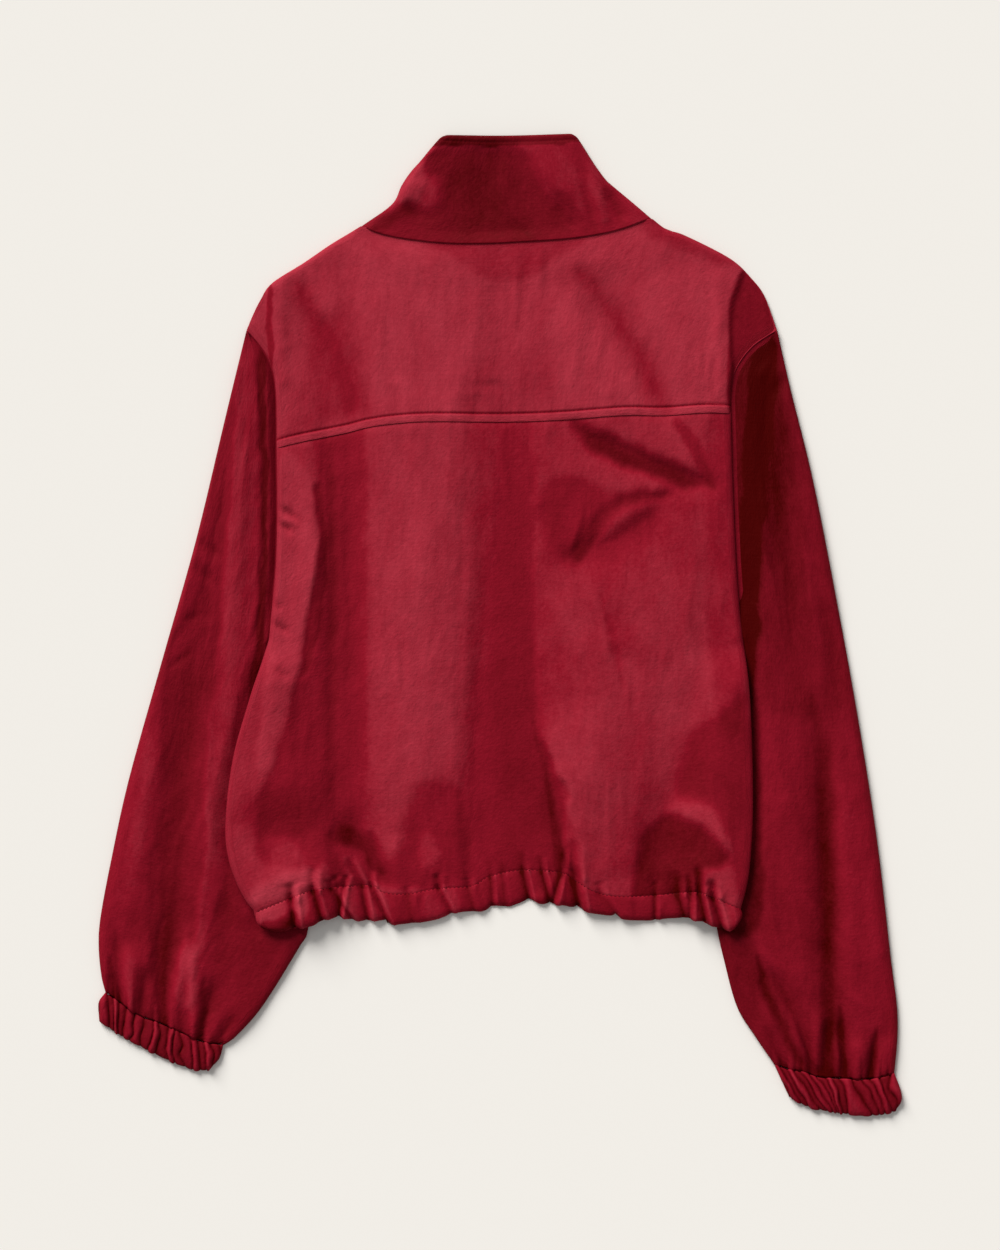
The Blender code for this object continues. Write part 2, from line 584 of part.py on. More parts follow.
def collar():
    """From zip to zip round the neck. Its rows run from the free top edge down to the neck seam."""
    left, right = Edge(rounded(COLLAR_LEFT, 2)), Edge(rounded(COLLAR_RIGHT, 2))
    back = patch(left, right, Edge(along(COLLAR_TOP_BACK, NECK_SHARES), NECK_SHARES),
                 Edge(along(NECK_BACK, NECK_SHARES), NECK_SHARES))
    halves = {}
    for side, outline in ((-1, left), (1, right)):
        zip_x = zip_line(side)
        neck, shares = half_neck(side, zip_x)
        shares = [s / ZIP_SHARE for s in shares]
        top_x = np.interp(shares, (0, 1), (COLLAR_TOP_FRONT[0 if side < 0 else -1][0], zip_x))
        top = [(x, at_x(COLLAR_TOP_FRONT, x)) for x in top_x]
        centre = Edge([(zip_x, top[-1][1]), (zip_x, neck[-1][1])])
        halves[side] = patch(outline, centre, Edge(top, shares), Edge(neck, shares))

    def place(u, v, upper):
        if upper:
            return back(u, v)
        return halves[-1](u / ZIP_SHARE, v) if u < 0.5 else halves[1]((1 - u) / ZIP_SHARE, v)

    surface = layered(place, COLLAR_SHARE, COLLAR_FOLDS)
    over = loop_steps(COLLAR_FLATS)
    lower = [4 - a for a in reversed(over)]
    zip_right, zip_left = (4 - parameter(u, COLLAR_SHARE) for u in (1 - ZIP_SHARE, ZIP_SHARE))
    right_side = [a for a in lower if a < zip_right - 0.04] + [zip_right]
    left_side = [zip_left - 4] + [a - 4 for a in lower if a > zip_left + 0.04]
    inset = SEAM_GAP / 80
    wall("collar", surface, left_side[:-1] + over + right_side[1:], (0.0, 0.09, 0.3, 0.5, 0.7, 0.88, 1 - inset))


def front_zip():
    """Two tapes that fill the gap between the fronts, and the slider at the top of the collar."""
    bottom = at_x(HEM_EDGE, CENTRE_X) + 2
    top = COLLAR_TOP_FRONT[2][1] - 2
    for name, side in (("zip_tape_left", -1), ("zip_tape_right", 1)):
        xs = sorted((CENTRE_X + side * SEAM_GAP / 2, CENTRE_X + side * ZIP_HALF))
        box(name, (xs[0], bottom, 0.0), (xs[1], top - SLIDER_LENGTH - SEAM_GAP, ZIP_TAPE), 0.2)
    box("zip_slider", (CENTRE_X - SLIDER_WIDTH / 2, top - SLIDER_LENGTH, 0.0),
        (CENTRE_X + SLIDER_WIDTH / 2, top, SLIDER_HEIGHT), 0.8)


for old in list(bpy.data.objects):
    bpy.data.objects.remove(old)
JACKET = bpy.data.collections.new("bomber_jacket")
bpy.context.scene.collection.children.link(JACKET)

FINISHES = {name: finish(name, CRIMSON, 0.55) for name in (
    "back_yoke", "back_panel", "front_left", "front_right")}
FINISHES.update({name: finish(name, CRIMSON_DEEP, 0.55) for name in (
    "sleeve_left", "sleeve_right", "cuff_left", "cuff_right", "hem_casing", "collar")})
FINISHES.update({name: finish(name, TAPE_RED, 0.8) for name in ("zip_tape_left", "zip_tape_right")})
FINISHES["zip_slider"] = finish("zip_slider", DARK_METAL, 0.35, 1.0)

yoke()
back_panel()
front("front_left", -1)
front("front_right", 1)
sleeve("sleeve_left", -1, ARMHOLE_LEFT, SLEEVE_LEFT_OUTER, SLEEVE_LEFT_INNER, CUFF_SEAM_LEFT, SLEEVE_LEFT_FOLDS)
sleeve("sleeve_right", 1, ARMHOLE_RIGHT, SLEEVE_RIGHT_OUTER, SLEEVE_RIGHT_INNER, CUFF_SEAM_RIGHT,
       SLEEVE_RIGHT_FOLDS)
cuff("cuff_left", CUFF_OUTER_LEFT, CUFF_INNER_LEFT, CUFF_SEAM_LEFT, CUFF_EDGE_LEFT, 0.3)
cuff("cuff_right", CUFF_INNER_RIGHT, CUFF_OUTER_RIGHT, CUFF_SEAM_RIGHT, CUFF_EDGE_RIGHT, 1.7)
hem_casing()
collar()
front_zip()
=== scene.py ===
"""A cropped bomber jacket in thin crimson shell cloth, laid flat on its front with its back up.

Tables are in millimetres: +X is to the right as the back is seen, +Y towards the collar, +Z up from
the floor.
"""

import math
from collections import namedtuple

import bpy
import numpy as np
from mathutils import Matrix, Vector


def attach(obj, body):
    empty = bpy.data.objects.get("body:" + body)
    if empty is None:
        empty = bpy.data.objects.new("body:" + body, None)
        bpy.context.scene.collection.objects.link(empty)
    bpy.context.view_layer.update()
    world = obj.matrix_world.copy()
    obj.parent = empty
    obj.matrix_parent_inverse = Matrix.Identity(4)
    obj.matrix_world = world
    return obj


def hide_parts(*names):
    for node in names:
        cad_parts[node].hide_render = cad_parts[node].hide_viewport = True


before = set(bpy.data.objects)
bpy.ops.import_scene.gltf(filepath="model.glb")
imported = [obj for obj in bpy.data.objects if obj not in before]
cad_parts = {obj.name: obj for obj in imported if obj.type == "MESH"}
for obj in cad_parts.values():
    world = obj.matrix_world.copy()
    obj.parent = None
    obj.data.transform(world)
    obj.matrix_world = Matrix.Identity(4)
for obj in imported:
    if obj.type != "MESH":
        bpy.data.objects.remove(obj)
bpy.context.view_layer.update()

MM = 0.001

# ---- sizes -------------------------------------------------------------------------------------

CLOTH = 0.6             # thickness of the shell cloth
LAYER = 5.5             # outer side of an upper layer over the floor it lies on
LEAST_LAYER = 1.7       # the lowest that a trough may press it
DEEPEST = -3.1          # the deepest fold of the back
FOLD_MIDDLE = 2.2       # height of a folded edge's middle
FOLD_RADIUS = 6.0       # how far in from a folded edge the cloth reaches its full height
LIFT = 7.4              # how high the body lies where a sleeve is under it
LIFT_RAMP = 42.0        # how far in from the sleeve's edge the body comes down to the floor
LIFT_START = 35.0       # how far below the underarm it reaches that height
UNDERARM_Y = -12.0
UNDERARM_TURN = 40.0    # above it, the height over which the sewn edge turns to a folded one
CENTRE_X = 5.0          # centre front
ZIP_GAP = 9.3           # from the centre front to the edge of each front
CAP_START = 0.5         # how far below the shoulder's end each sleeve starts
ARMHOLE_LEVEL = 2.8     # height of the armhole seam, in the valley between body and sleeve
ARMHOLE_SLOPE_LEFT = 7.0    # width of each sleeve's slope up from it
ARMHOLE_SLOPE_RIGHT = 26.0
TUCK = 1.5              # how far one piece reaches under the next at a seam
SEAM_REACH = 1.4        # how far from a seam the cloth dips towards it
YOKE_BAND = 6.6         # topstitched lower edge of the yoke

# What each field of noise starts from
BACK_SEED, COLLAR_SEED, FRONT_SEED, COLLAR_FRONT_SEED = 11, 51, 71, 81
SLEEVE_LEFT_SEED, SLEEVE_RIGHT_SEED, SLEEVE_UNDERSIDE = 101, 131, 20
RIB_SEED, RIB_LEAN_SEED, FACET_SEED = 61, 63, 201

# ---- outlines, (x, y), from top to bottom or from left to right --------------------------------

SHOULDER_LEFT = ((-198, 230), (-193, 242), (-187, 254), (-178, 267), (-153, 283), (-131, 298), (-108, 311.5))
SHOULDER_RIGHT = ((118, 317.5), (130, 309), (145, 304), (180, 286), (197, 270), (207, 256), (216.5, 230))
NECK_BACK = ((-108, 311.5), (-96, 306), (-76, 301.5), (-45, 298), (-14, 297.5), (18, 299), (50, 301),
    (76, 304.5), (97, 309.5), (118, 317.5))
NECK_FRONT = ((-108, 311.5), (-88, 285), (-50, 262), (5, 254), (60, 264), (98, 288), (118, 317.5))
NECK_LEFT_X, NECK_RIGHT_X = NECK_BACK[0][0], NECK_BACK[-1][0]
YOKE_SEAM = ((-174.5, 138), (-154, 143), (-122, 149.5), (-98, 155), (-60, 158.5), (0, 158.5), (48, 160),
    (96, 163.5), (128, 163.5), (160, 165.5), (180.5, 165))
ARMHOLE_LEFT = ((-198, 230), (-190.5, 222), (-182.5, 211), (-177, 197), (-175, 180), (-174.5, 160),
    (-174.5, 138), (-174, 95), (-175, 50), (-178, 15), (-181, UNDERARM_Y))
ARMHOLE_RIGHT = ((216.5, 230), (208, 225), (198, 218), (188.5, 207), (182.5, 195), (180.5, 182), (180.5, 165),
    (182, 110), (184.5, 50), (187, 15), (190, UNDERARM_Y))
YOKE_END = 6            # the armholes' row where the yoke ends
SIDE_LEFT = ((-181, UNDERARM_Y), (-186.5, -31), (-196, -60), (-208.5, -106), (-214, -155), (-211, -185),
    (-201, -210), (-191, -224))
SIDE_RIGHT = ((190, UNDERARM_Y), (192.5, -31), (195, -60), (196.8, -106), (197, -150), (195, -185),
    (192, -205), (187.5, -221))
HEM_SEAM = ((-191, -224), (-174, -217), (-153, -208.5), (-141, -205.5), (-102.5, -203), (-90, -208.5),
    (-72, -209.5), (-49.5, -205.5), (-22, -203.5), (-8, -196), (17, -191), (47, -193), (60, -200), (74, -208),
    (91, -211.5), (119, -211), (151, -208), (167, -212.5), (187.5, -221))
HEM_EDGE = ((-184, -237), (-171, -239), (-158, -236.5), (-146, -234.5), (-137, -230), (-124.5, -228.5),
    (-112, -231), (-90, -231), (-85.5, -234), (-54, -231), (-33, -224.5), (-13.5, -223.5), (-4.5, -219),
    (6.5, -220), (24.5, -214.5), (31.5, -218), (47, -218.5), (57, -221), (62, -220), (67.5, -224),
    (85.5, -227), (91, -226), (97, -230), (117.5, -231), (124, -230), (135.5, -229), (151, -230),
    (165, -234.5), (172, -237), (181, -237.5), (187, -231))
SLEEVE_LEFT_OUTER = ((-198, 230), (-215, 160), (-237.5, 66), (-264, -28), (-290, -121), (-304, -185),
    (-312, -228), (-313.5, -250), (-311.5, -273), (-308, -287))
SLEEVE_LEFT_INNER = ((-181.3, UNDERARM_Y), (-183, -29), (-186, -46), (-181, -80), (-160, -140), (-147, -195),
    (-150, -238), (-157, -252), (-185, -297), (-205, -320), (-216, -328))
SLEEVE_RIGHT_INNER = ((190.3, UNDERARM_Y), (190.5, -29), (191, -46), (185, -80), (172, -140), (164, -195),
    (169, -234), (175, -262), (185, -298), (199, -321), (214, -343))
SLEEVE_RIGHT_OUTER = ((216.5, 230), (227, 184), (244.5, 113), (263, 19), (280, -75), (294.5, -168),
    (305.5, -262), (310, -297), (310.5, -322), (308, -350))
CUFF_SEAM_LEFT = ((-308, -287), (-296, -295.5), (-282, -305), (-266, -311), (-252, -317), (-234, -325),
    (-216, -328))
CUFF_EDGE_LEFT = ((-313, -309), (-300, -318.5), (-285, -327), (-266, -337), (-252, -343), (-239, -347.5),
    (-228, -348))
CUFF_OUTER_LEFT = ((-308, -287), (-313.5, -295), (-313, -309))
CUFF_INNER_LEFT = ((-216, -328), (-219.5, -339), (-228, -348))
CUFF_SEAM_RIGHT = ((214, -343), (225, -347), (237, -349), (248, -353), (260, -354), (284, -355),
    (296, -353.5), (308, -350))
CUFF_EDGE_RIGHT = ((226, -369), (241, -376.5), (266, -381.5), (292, -383), (309, -380))
CUFF_INNER_RIGHT = ((214, -343), (220, -356), (226, -369))
CUFF_OUTER_RIGHT = ((308, -350), (314, -368), (309, -380))
TURN_LEFT = ((-190, 276), (-181, 262), (-177.5, 235), (-177.5, 185), (-178, 170))
TURN_RIGHT = ((192, 284), (188, 276), (178, 244), (180, 195), (182.5, 166))
COLLAR_LEFT = ((-42, 382.5), (-46.5, 380.5), (-53, 373.5), (-62, 362.5), (-70, 353.5), (-77, 343),
    (-84.5, 328.5), (-108, 311.5))
COLLAR_RIGHT = ((56, 383.5), (60, 381), (64.5, 374.5), (73, 361), (82, 348.5), (89, 342), (104, 329.5),
    (118, 317.5))
COLLAR_TOP_BACK = ((-42, 382.5), (5, 382), (56, 383.5))
COLLAR_TOP_FRONT = ((-42, 382.5), (-25, 366), (5, 361), (35, 366), (56, 383.5))


def table(kind, *rows):
    """Rows with the named columns of their kind."""
    return tuple(kind(*row) for row in rows)


# ---- folds -------------------------------------------------------------------------------------
# A ridge (+) or trough (-) along a line from (x0, y0) to (x1, y1) that bows sideways by bend. east is its
# width on the +X side of a line drawn downwards, or above one drawn to the right, and west on the other
# side. start and end are its strength at the line's two ends, and sharp runs from 0, soft, to 1, pinched.

Fold = namedtuple("Fold", "x0 y0 x1 y1 bend east west height start end sharp", defaults=(0.0, 0.0, 0.0))

BODY_FOLDS = table(
    Fold,
    # long drapes from the yoke to the hem
    (-130, 150, -124, -200, 0, 24, 8, -3.4, 0.6, 0.6),
    (-146, 120, -152, -60, 4, 7, 14, 2.4, 0.3, 0.3),
    (-118, 150, -116, -150, 0, 12, 4, -1.2, 0.6, 0.3, 0.3),
    (-62, 140, -66, -150, 0, 24, 40, 3.4, 0.6, 0.5),
    (-20, 150, -34, -200, 0, 5, 5, 0.9, 0.4, 0.6),
    (12, 150, 4, -190, 0, 26, 24, -3.8, 0.5, 0.9),
    (22, 150, 24, -60, 0, 3, 3, -0.5, 0.8, 0.2),
    (118, 70, 126, -90, 0, 34, 34, 3.2, 0.4, 0.4),
    # drag lines under the yoke on the right
    (52, 153, 156, 111, -4, 5, 12, -4.4, 0.2, 0.7, 0.2),
    (62, 136, 152, 104, -4, 5, 9, 1.8, 0.2, 0.6),
    (138, 107, 58, 54, 8, 14, 6, -4.0, 0.4, 0.7, 0.2),
    (92, 62, 60, 40, 0, 8, 8, -1.0),
    # the crease and the light facet above the hem
    (22, -60, 60, -160, 0, 22, 4, 4.6, 0.1, 0.5, 0.5),
    (34, -92, 54, -196, -3, 2.5, 12, -5.0, 0.1, 0.9, 0.6),
    (66, -40, 78, -170, 0, 18, 18, 2.4, 0.2, 0.3),
    (45, 30, 60, -30, 0, 8, 8, 1.3),
    (82, 20, 93, -14, 0, 4, 3, -0.9, 0.2, 0.3, 0.4),
    (86, 30, 100, -60, 0, 10, 10, -1.0),
    (166, -78, 104, -190, 0, 9, 14, -2.0, 0.1, 0.6),
    # left of the hem
    (-170, 130, -176, -60, 0, 5, 5, 1.3, 0.4, 0.4),
    (-132, -148, -94, -196, 0, 15, 6, -4.2, 0.2, 0.9, 0.4),
    (-80, -160, -84, -205, 0, 9, 9, 1.8, 0.2, 0.6),
    (-64, -140, -60, -196, 0, 10, 10, -1.2, 0.1, 0.4),
    (-52, -170, -52, -205, 0, 6, 6, 1.0, 0.2, 0.6),
    # small puckers beside the left armhole
    (-171, 91, -156, 79, 1, 2, 2.6, -3.0, 0.5, 0.2, 0.4),
    (-173, 79, -161, 71, 1, 2, 2.4, -2.6, 0.5, 0.2, 0.4),
    (-170, 86, -158, 76, 0, 2, 2, 1.4),
    (-177, 19, -169, 10, 0, 2, 2.4, -2.0, 0.5, 0.2, 0.4),
    (-177, 2, -163, -7, 0, 2, 2.6, -2.4, 0.5, 0.2, 0.4),
    (-177, -34, -160, -42, 0, 2.4, 3, -1.6, 0.4, 0.2, 0.4),
)
YOKE_FOLDS = table(
    Fold,
    (-163, 264, -112, 165, 0, 9, 16, -3.0, 0.3, 0.4),
    (-128, 262, -100, 170, 0, 14, 8, 1.7, 0.3, 0.4),
    (-156, 242, -140, 196, 0, 3, 4, -0.9, 0.2, 0.2, 0.3),
    (-70, 290, -74, 170, 0, 30, 30, 1.6, 0.4, 0.4),
    (62, 278, 134, 172, 0, 11, 16, -2.8, 0.2, 0.6),
    (30, 262, 98, 172, 0, 9, 12, 2.0, 0.2, 0.5),
    (110, 262, 152, 172, 0, 22, 12, 1.6, 0.4, 0.5),
    (6, 255, 6, 165, 0, 12, 12, -1.0, 0.2, 0.5),
    (-30, 184, 6, 182, 5, 2.5, 2.5, -0.3),
    (-36, 178, 10, 176, 4, 2.5, 2.5, 0.3),
    (-172, 262, -168, 190, 0, 3, 4, 1.4, 0.5, 0.5),  # beside the folds at both sides
    (170, 270, 172, 185, 0, 4, 3, 1.2, 0.5, 0.5),
)
SLEEVE_LEFT_FOLDS = table(
    Fold,
    (-203, 200, -216, -60, 0, 9, 8, 2.2, 0.4, 0.3),
    (-212, 150, -226, -140, 0, 5, 6, -2.0, 0.2, 0.3, 0.2),
    (-226, 120, -252, -20, 0, 14, 14, 1.6, 0.3, 0.3),
    (-240, 10, -256, -236, 4, 7, 12, -2.0, 0.2, 0.5, 0.2),
    (-222, -60, -236, -210, 0, 9, 9, 2.0, 0.3, 0.3),
    (-268, -60, -284, -215, 0, 10, 10, 2.0, 0.2, 0.3),
    (-208, -150, -216, -262, 0, 6, 8, -1.6, 0.2, 0.4),
    (-240, 70, -214, 50, 0, 2.5, 2.5, -1.1, 0, 0, 0.4),
    (-246, 52, -216, 26, 0, 3, 3, -1.1, 0, 0, 0.3),
    (-242, 60, -216, 38, 0, 3, 3, 0.8),
    (-254, 2, -226, 10, 0, 2.5, 2.5, -0.8, 0, 0, 0.4),
    (-262, -36, -236, -18, 0, 2.5, 2.5, -0.9, 0, 0, 0.4),
    # pleats that fan out from the cuff
    (-300, -232, -297, -293, 0, 5, 4, -3.6, 0.1, 1.0, 0.5),
    (-289, -244, -288, -300, 0, 7, 7, 2.8, 0.1, 0.8),
    (-276, -262, -281, -304, 0, 4, 4, -2.4, 0.0, 0.9, 0.4),
    (-256, -212, -262, -310, -3, 6, 6, -4.6, 0.1, 1.0, 0.6),
    (-250, -262, -256, -312, 0, 4, 4, 2.0, 0.1, 0.9),
    (-246, -262, -244, -318, 0, 5, 4, -2.4, 0.0, 1.0, 0.6),
    (-237, -244, -240, -316, 0, 9, 6, 3.6, 0.1, 0.9),
    (-222, -272, -233, -322, 0, 5, 4, -3.2, 0.0, 1.0, 0.5),
    (-218, -298, -226, -325, 0, 4, 4, 1.4, 0.0, 0.9),
    (-204, -300, -220, -326, 0, 4, 4, -1.6, 0.0, 0.9, 0.4),
    (-306, -270, -304, -291, 0, 3, 3, -1.2, 0.0, 1.0, 0.4),
)
SLEEVE_RIGHT_FOLDS = table(
    Fold,
    (226, 196, 214, 182, 0, 3, 3, -1.0, 0.3, 0.8),  # puckers at the armhole
    (212, 208, 204, 196, 0, 3, 3, 1.0, 0.3, 0.8),
    (206, 204, 240, -60, 0, 14, 9, -3.0, 0.6, 0.2),
    (230, 130, 258, -80, 0, 9, 12, 2.4, 0.2, 0.3),
    (246, 70, 272, -120, 0, 5, 6, -1.4, 0.2, 0.3),
    (212, -20, 220, -200, 0, 14, 10, 2.0, 0.2, 0.3),
    (248, -70, 262, -352, 0, 8, 12, -3.6, 0.2, 0.6, 0.2),
    (264, -60, 277, -330, 0, 6, 6, 1.8, 0.2, 0.3),
    (284, -130, 296, -300, 0, 8, 8, 1.2, 0.2, 0.4),
    (234, -140, 242, -280, 0, 8, 8, 1.4, 0.2, 0.4),
    (198, -250, 246, -350, 5, 7, 5, -4.6, 0.1, 1.0, 0.6),
    (196, -250, 226, -276, 0, 4, 6, 1.4, 0.1, 0.3),
    (222, -292, 236, -346, 0, 6, 6, 2.2, 0.1, 0.9),
    (206, -310, 222, -346, 0, 4, 3, -2.2, 0.0, 1.0, 0.5),
    (256, -304, 256, -352, 0, 4, 4, -2.4, 0.0, 1.0, 0.5),
    (249, -292, 247, -350, 0, 4, 4, 2.0, 0.0, 0.9),
    (266, -300, 271, -354, 0, 4, 3, -3.4, 0.0, 1.0, 0.6),
    (263, -316, 262, -353, 0, 3, 3, 1.4, 0.0, 1.0),
    (282, -318, 279, -354, 0, 5, 5, 2.0, 0.0, 1.0),
    (294, -314, 289, -354, 0, 4, 4, -2.8, 0.0, 1.0, 0.6),
    (302, -318, 300, -352, 0, 5, 5, 1.6, 0.0, 1.0),
    (240, -250, 280, -300, 0, 3, 3, 0.7, 0, 0, 0.4),
    (268, -285, 292, -302, 0, 2.5, 2.5, 0.8, 0, 0, 0.3),
)
COLLAR_FOLDS = table(
    Fold,
    (-28, 372, -8, 305, 0, 26, 22, -3.0, 0.6, 0.8),
    (-66, 352, -76, 326, 0, 8, 10, 2.6, 0.3, 0.5),
    (-58, 352, -44, 320, 0, 4, 5, 1.5, 0.3, 0.1),
    (-78, 328, -58, 318, 0, 4, 5, -1.8, 0.6, 0.4),
    (22, 372, 62, 310, 0, 14, 5, 3.6, 0.5, 0.3, 0.3),
    (38, 340, 54, 316, 0, 5, 7, -2.2, 0.3, 0.7, 0.2),
    (70, 356, 82, 318, 0, 3, 3, 2.2, 0.3, 0.5, 0.3),
    (63, 352, 75, 308, 0, 4, 4, -2.4, 0.3, 0.9, 0.4),
    (82, 344, 96, 314, 0, 5, 4, -2.8, 0.3, 0.9, 0.4),
    (6, 318, 24, 303, 0, 3, 3, -1.0, 0.2, 0.8, 0.3),
)

# Parts of the cloth between creases: how far the edge spreads, how far the part stands out, how much painted
# light (+) or painted shade (-) its colour has, and its corners
Facet = namedtuple("Facet", "edge height tone corners")
# painted light and shade of the back's folds, with their raised and sunk parts
BODY_FACETS = table(
    Facet,
    # left of the middle
    (5, -0.8, -0.34, ((-144, 146), (-133, 150), (-127, 60), (-128, -40), (-131, -160), (-150, -188),
     (-184, -186), (-189, -150), (-177, -110), (-168, -70), (-160, -44), (-151, 0), (-142, 60))),
    (2.5, -0.8, -0.36, ((-142, 60), (-143, 100), (-139, 106), (-134, 50), (-139, -8), (-154, -38),
     (-152, -4))),
    (9, -0.8, -0.22, ((-196, -135), (-150, -132), (-140, -160), (-176, -168), (-198, -160))),
    (4, 0.0, -0.22, ((-133, 150), (-106, 152), (-104, -100), (-110, -158), (-127, -158))),
    (10, 0.8, 0.08, ((-106, 152), (-28, 156), (-26, -60), (-40, -125), (-72, -134), (-102, -110))),
    (4, -1.8, -0.5, ((-131, -160), (-118, -157), (-96, -168), (-90, -194), (-99, -192), (-110, -178),
     (-124, -172))),
    (3, -0.6, -0.35, ((-136, -165), (-128, -165), (-122, -198), (-130, -204))),
    (6, -0.6, -0.34, ((-66, -126), (-46, -122), (-28, -138), (-26, -200), (-88, -204), (-94, -192),
     (-76, -166))),
    (4, 0.5, 0.22, ((-62, -166), (-50, -166), (-48, -184), (-60, -188))),
    (6, 0.8, 0.6, ((-196, -216), (-188, -203), (-166, -194), (-148, -190), (-144, -202), (-168, -214))),
    (6, 0.8, 0.28, ((-180, -168), (-160, -166), (-154, -184), (-176, -192))),
    (3, 0.5, 0.18, ((-172, 130), (-148, 118), (-142, 60), (-150, 0), (-158, -40), (-170, -84), (-178, -110),
     (-190, -112), (-184, -70), (-180, -20), (-174, 40))),
    # the middle
    (3.5, -0.8, -0.07, ((-26, 156), (24, 158), (27, -30), (40, -108), (53, -128), (48, -192), (-26, -202))),
    (6, -0.4, -0.1, ((0, 150), (20, 110), (25, -30), (40, -110), (46, -192), (-2, -192))),
    (9, -0.3, -0.10, ((-24, -50), (28, -50), (48, -190), (-26, -198))),
    (2.5, -1.8, -0.3, ((24, -70), (30, -84), (44, -114), (54, -128), (52, -150), (47, -190), (41, -190),
     (38, -140), (30, -102))),
    (9, 1.0, -0.09, ((27, -66), (60, -16), (112, -10), (122, -100), (112, -150), (108, -186), (62, -194),
     (51, -186), (56, -130), (47, -114))),
    # drag lines under the yoke
    (5, -1.6, -0.62, ((56, 158), (80, 150), (110, 137), (135, 125), (157, 111), (150, 106), (120, 116),
     (92, 126), (70, 138))),
    (6, -0.8, -0.32, ((62, 48), (70, 60), (84, 80), (106, 94), (133, 102), (125, 107), (95, 103), (70, 111),
     (38, 112), (34, 80), (44, 56))),
    (4, -1.0, -0.26, ((60, 48), (72, 60), (87, 80), (109, 94), (133, 102), (112, 103), (86, 95), (62, 72))),
    (4, 0.4, 0.06, ((92, 152), (112, 160), (140, 150), (150, 122), (126, 134))),
    (3, -0.6, -0.38, ((134, 160), (148, 152), (164, 122), (168, 105), (161, 107), (150, 130))),
    (9, 0.8, -0.15, ((70, 56), (112, 92), (150, 96), (156, 20), (130, -30), (90, -10))),
    (5, 0.0, -0.22, ((160, 150), (184, 160), (192, -60), (166, -60))),
    (2, -0.5, -0.16, ((78, 24), (82, 20), (92, -14), (98, -44), (93, -42), (86, -14))),
    # above the hem on the right
    (5, -1.2, -0.8, ((108, -232), (110, -172), (121, -154), (136, -149), (160, -160), (178, -178),
     (174, -188), (160, -194), (152, -232))),
    (4, 1.0, 0.14, ((131, -147), (140, -138), (160, -142), (177, -164), (182, -182), (178, -176), (160, -158),
     (140, -147))),
    (7, -0.8, -0.5, ((148, -88), (164, -76), (192, -58), (198, -150), (190, -212), (184, -190), (180, -168),
     (164, -141), (142, -134), (138, -120))),
    (5, 0.6, 0.1, ((166, -192), (178, -188), (188, -210), (184, -219), (172, -212))),
    (4, -0.6, -0.25, ((52, -192), (60, -190), (66, -203), (57, -204))),
)
# painted light and shade of the yoke, with painted shade in the slits where the shoulders turn down
YOKE_FACETS = table(
    Facet,
    (5, 0.0, -0.34, ((108, 324), (188, 292), (182, 279), (118, 303))),
    (11, -1.0, -0.32, ((-162, 264), (-148, 262), (-140, 242), (-116, 246), (-108, 215), (-100, 166),
     (-130, 158), (-158, 148), (-150, 200), (-156, 232))),
    (4, -0.5, -0.16, ((-158, 262), (-150, 262), (-118, 205), (-112, 168), (-122, 168), (-132, 205))),
    (8, -1.2, -0.38, ((58, 277), (70, 276), (84, 260), (102, 230), (118, 205), (134, 168), (122, 168),
     (104, 200), (92, 224), (72, 258))),
    (4, 0.0, -0.30, ((-56, 302), (64, 304), (42, 286), (22, 272), (2, 268), (-18, 273), (-38, 288))),
    (8, -0.3, -0.12, ((-22, 200), (34, 215), (40, 160), (-24, 158))),
    (8, 0.6, 0.10, ((-104, 288), (-30, 262), (-30, 165), (-96, 165))),
    (8, 0.6, 0.12, ((40, 262), (60, 250), (110, 172), (50, 168))),
    (8, 0.6, 0.10, ((110, 262), (172, 270), (176, 172), (140, 172))),
    (1.2, 0.0, -0.70, ((-182, 262), (-178.5, 262), (-177.5, 204), (-181.5, 204))),
    (1.5, 0.0, -0.75, ((180, 164), (179.5, 240), (183, 262), (192, 279), (206, 270), (222, 250), (222, 226),
     (205, 218), (190, 200))),
)
# painted light and shade of the left sleeve's folds
SLEEVE_LEFT_FACETS = table(
    Facet,
    (12, 0.0, 0.08, ((-240, 20), (-204, 20), (-204, -200), (-216, -330), (-312, -290), (-306, -200))),
    (1.6, -0.6, -0.46, ((-188.5, 222), (-184, 214), (-182, 195), (-181.5, 120), (-182, 40), (-183, -10),
     (-188, -50), (-197, -82), (-194, -40), (-188.5, 10), (-186, 60), (-187, 120), (-188, 190))),
    (2.5, 0.6, 0.26, ((-204, 208), (-191, 214), (-189, 120), (-188, 30), (-196, -30), (-208, -90),
     (-214, -160), (-220, -220), (-236, -262), (-238, -240), (-230, -180), (-226, -80), (-216, 20),
     (-208, 120))),
    (4, -1.0, -0.1, ((-214, 120), (-222, 60), (-228, -20), (-228, -80), (-232, -180), (-240, -240),
     (-246, -235), (-256, -270), (-266, -300), (-271, -260), (-272, -200), (-262, -100), (-260, -20),
     (-240, 10), (-226, 60))),
    (6, -0.4, -0.04, ((-254, -60), (-262, -160), (-270, -230), (-262, -294), (-256, -250), (-250, -160),
     (-247, -60))),
    (5, 0.5, 0.14, ((-236, 60), (-262, -30), (-290, -120), (-308, -230), (-308, -280), (-300, -280),
     (-290, -240), (-278, -180), (-264, -80), (-244, 20))),
    (4.5, 1.4, 0.36, ((-252, -256), (-244, -246), (-237, -256), (-238, -290), (-246, -302), (-252, -280))),
    (5, 0.8, 0.16, ((-296, -262), (-288, -254), (-283, -290), (-290, -298))),
    (7, -0.6, -0.08, ((-214, -196), (-222, -225), (-233, -262), (-228, -306), (-204, -320), (-150, -250),
     (-160, -240), (-204, -225))),
    (2, -1.0, -0.30, ((-305, -262), (-301, -262), (-297, -292), (-303, -290))),
    (2, -1.0, -0.30, ((-232, -282), (-228, -280), (-232, -322), (-237, -320))),
)
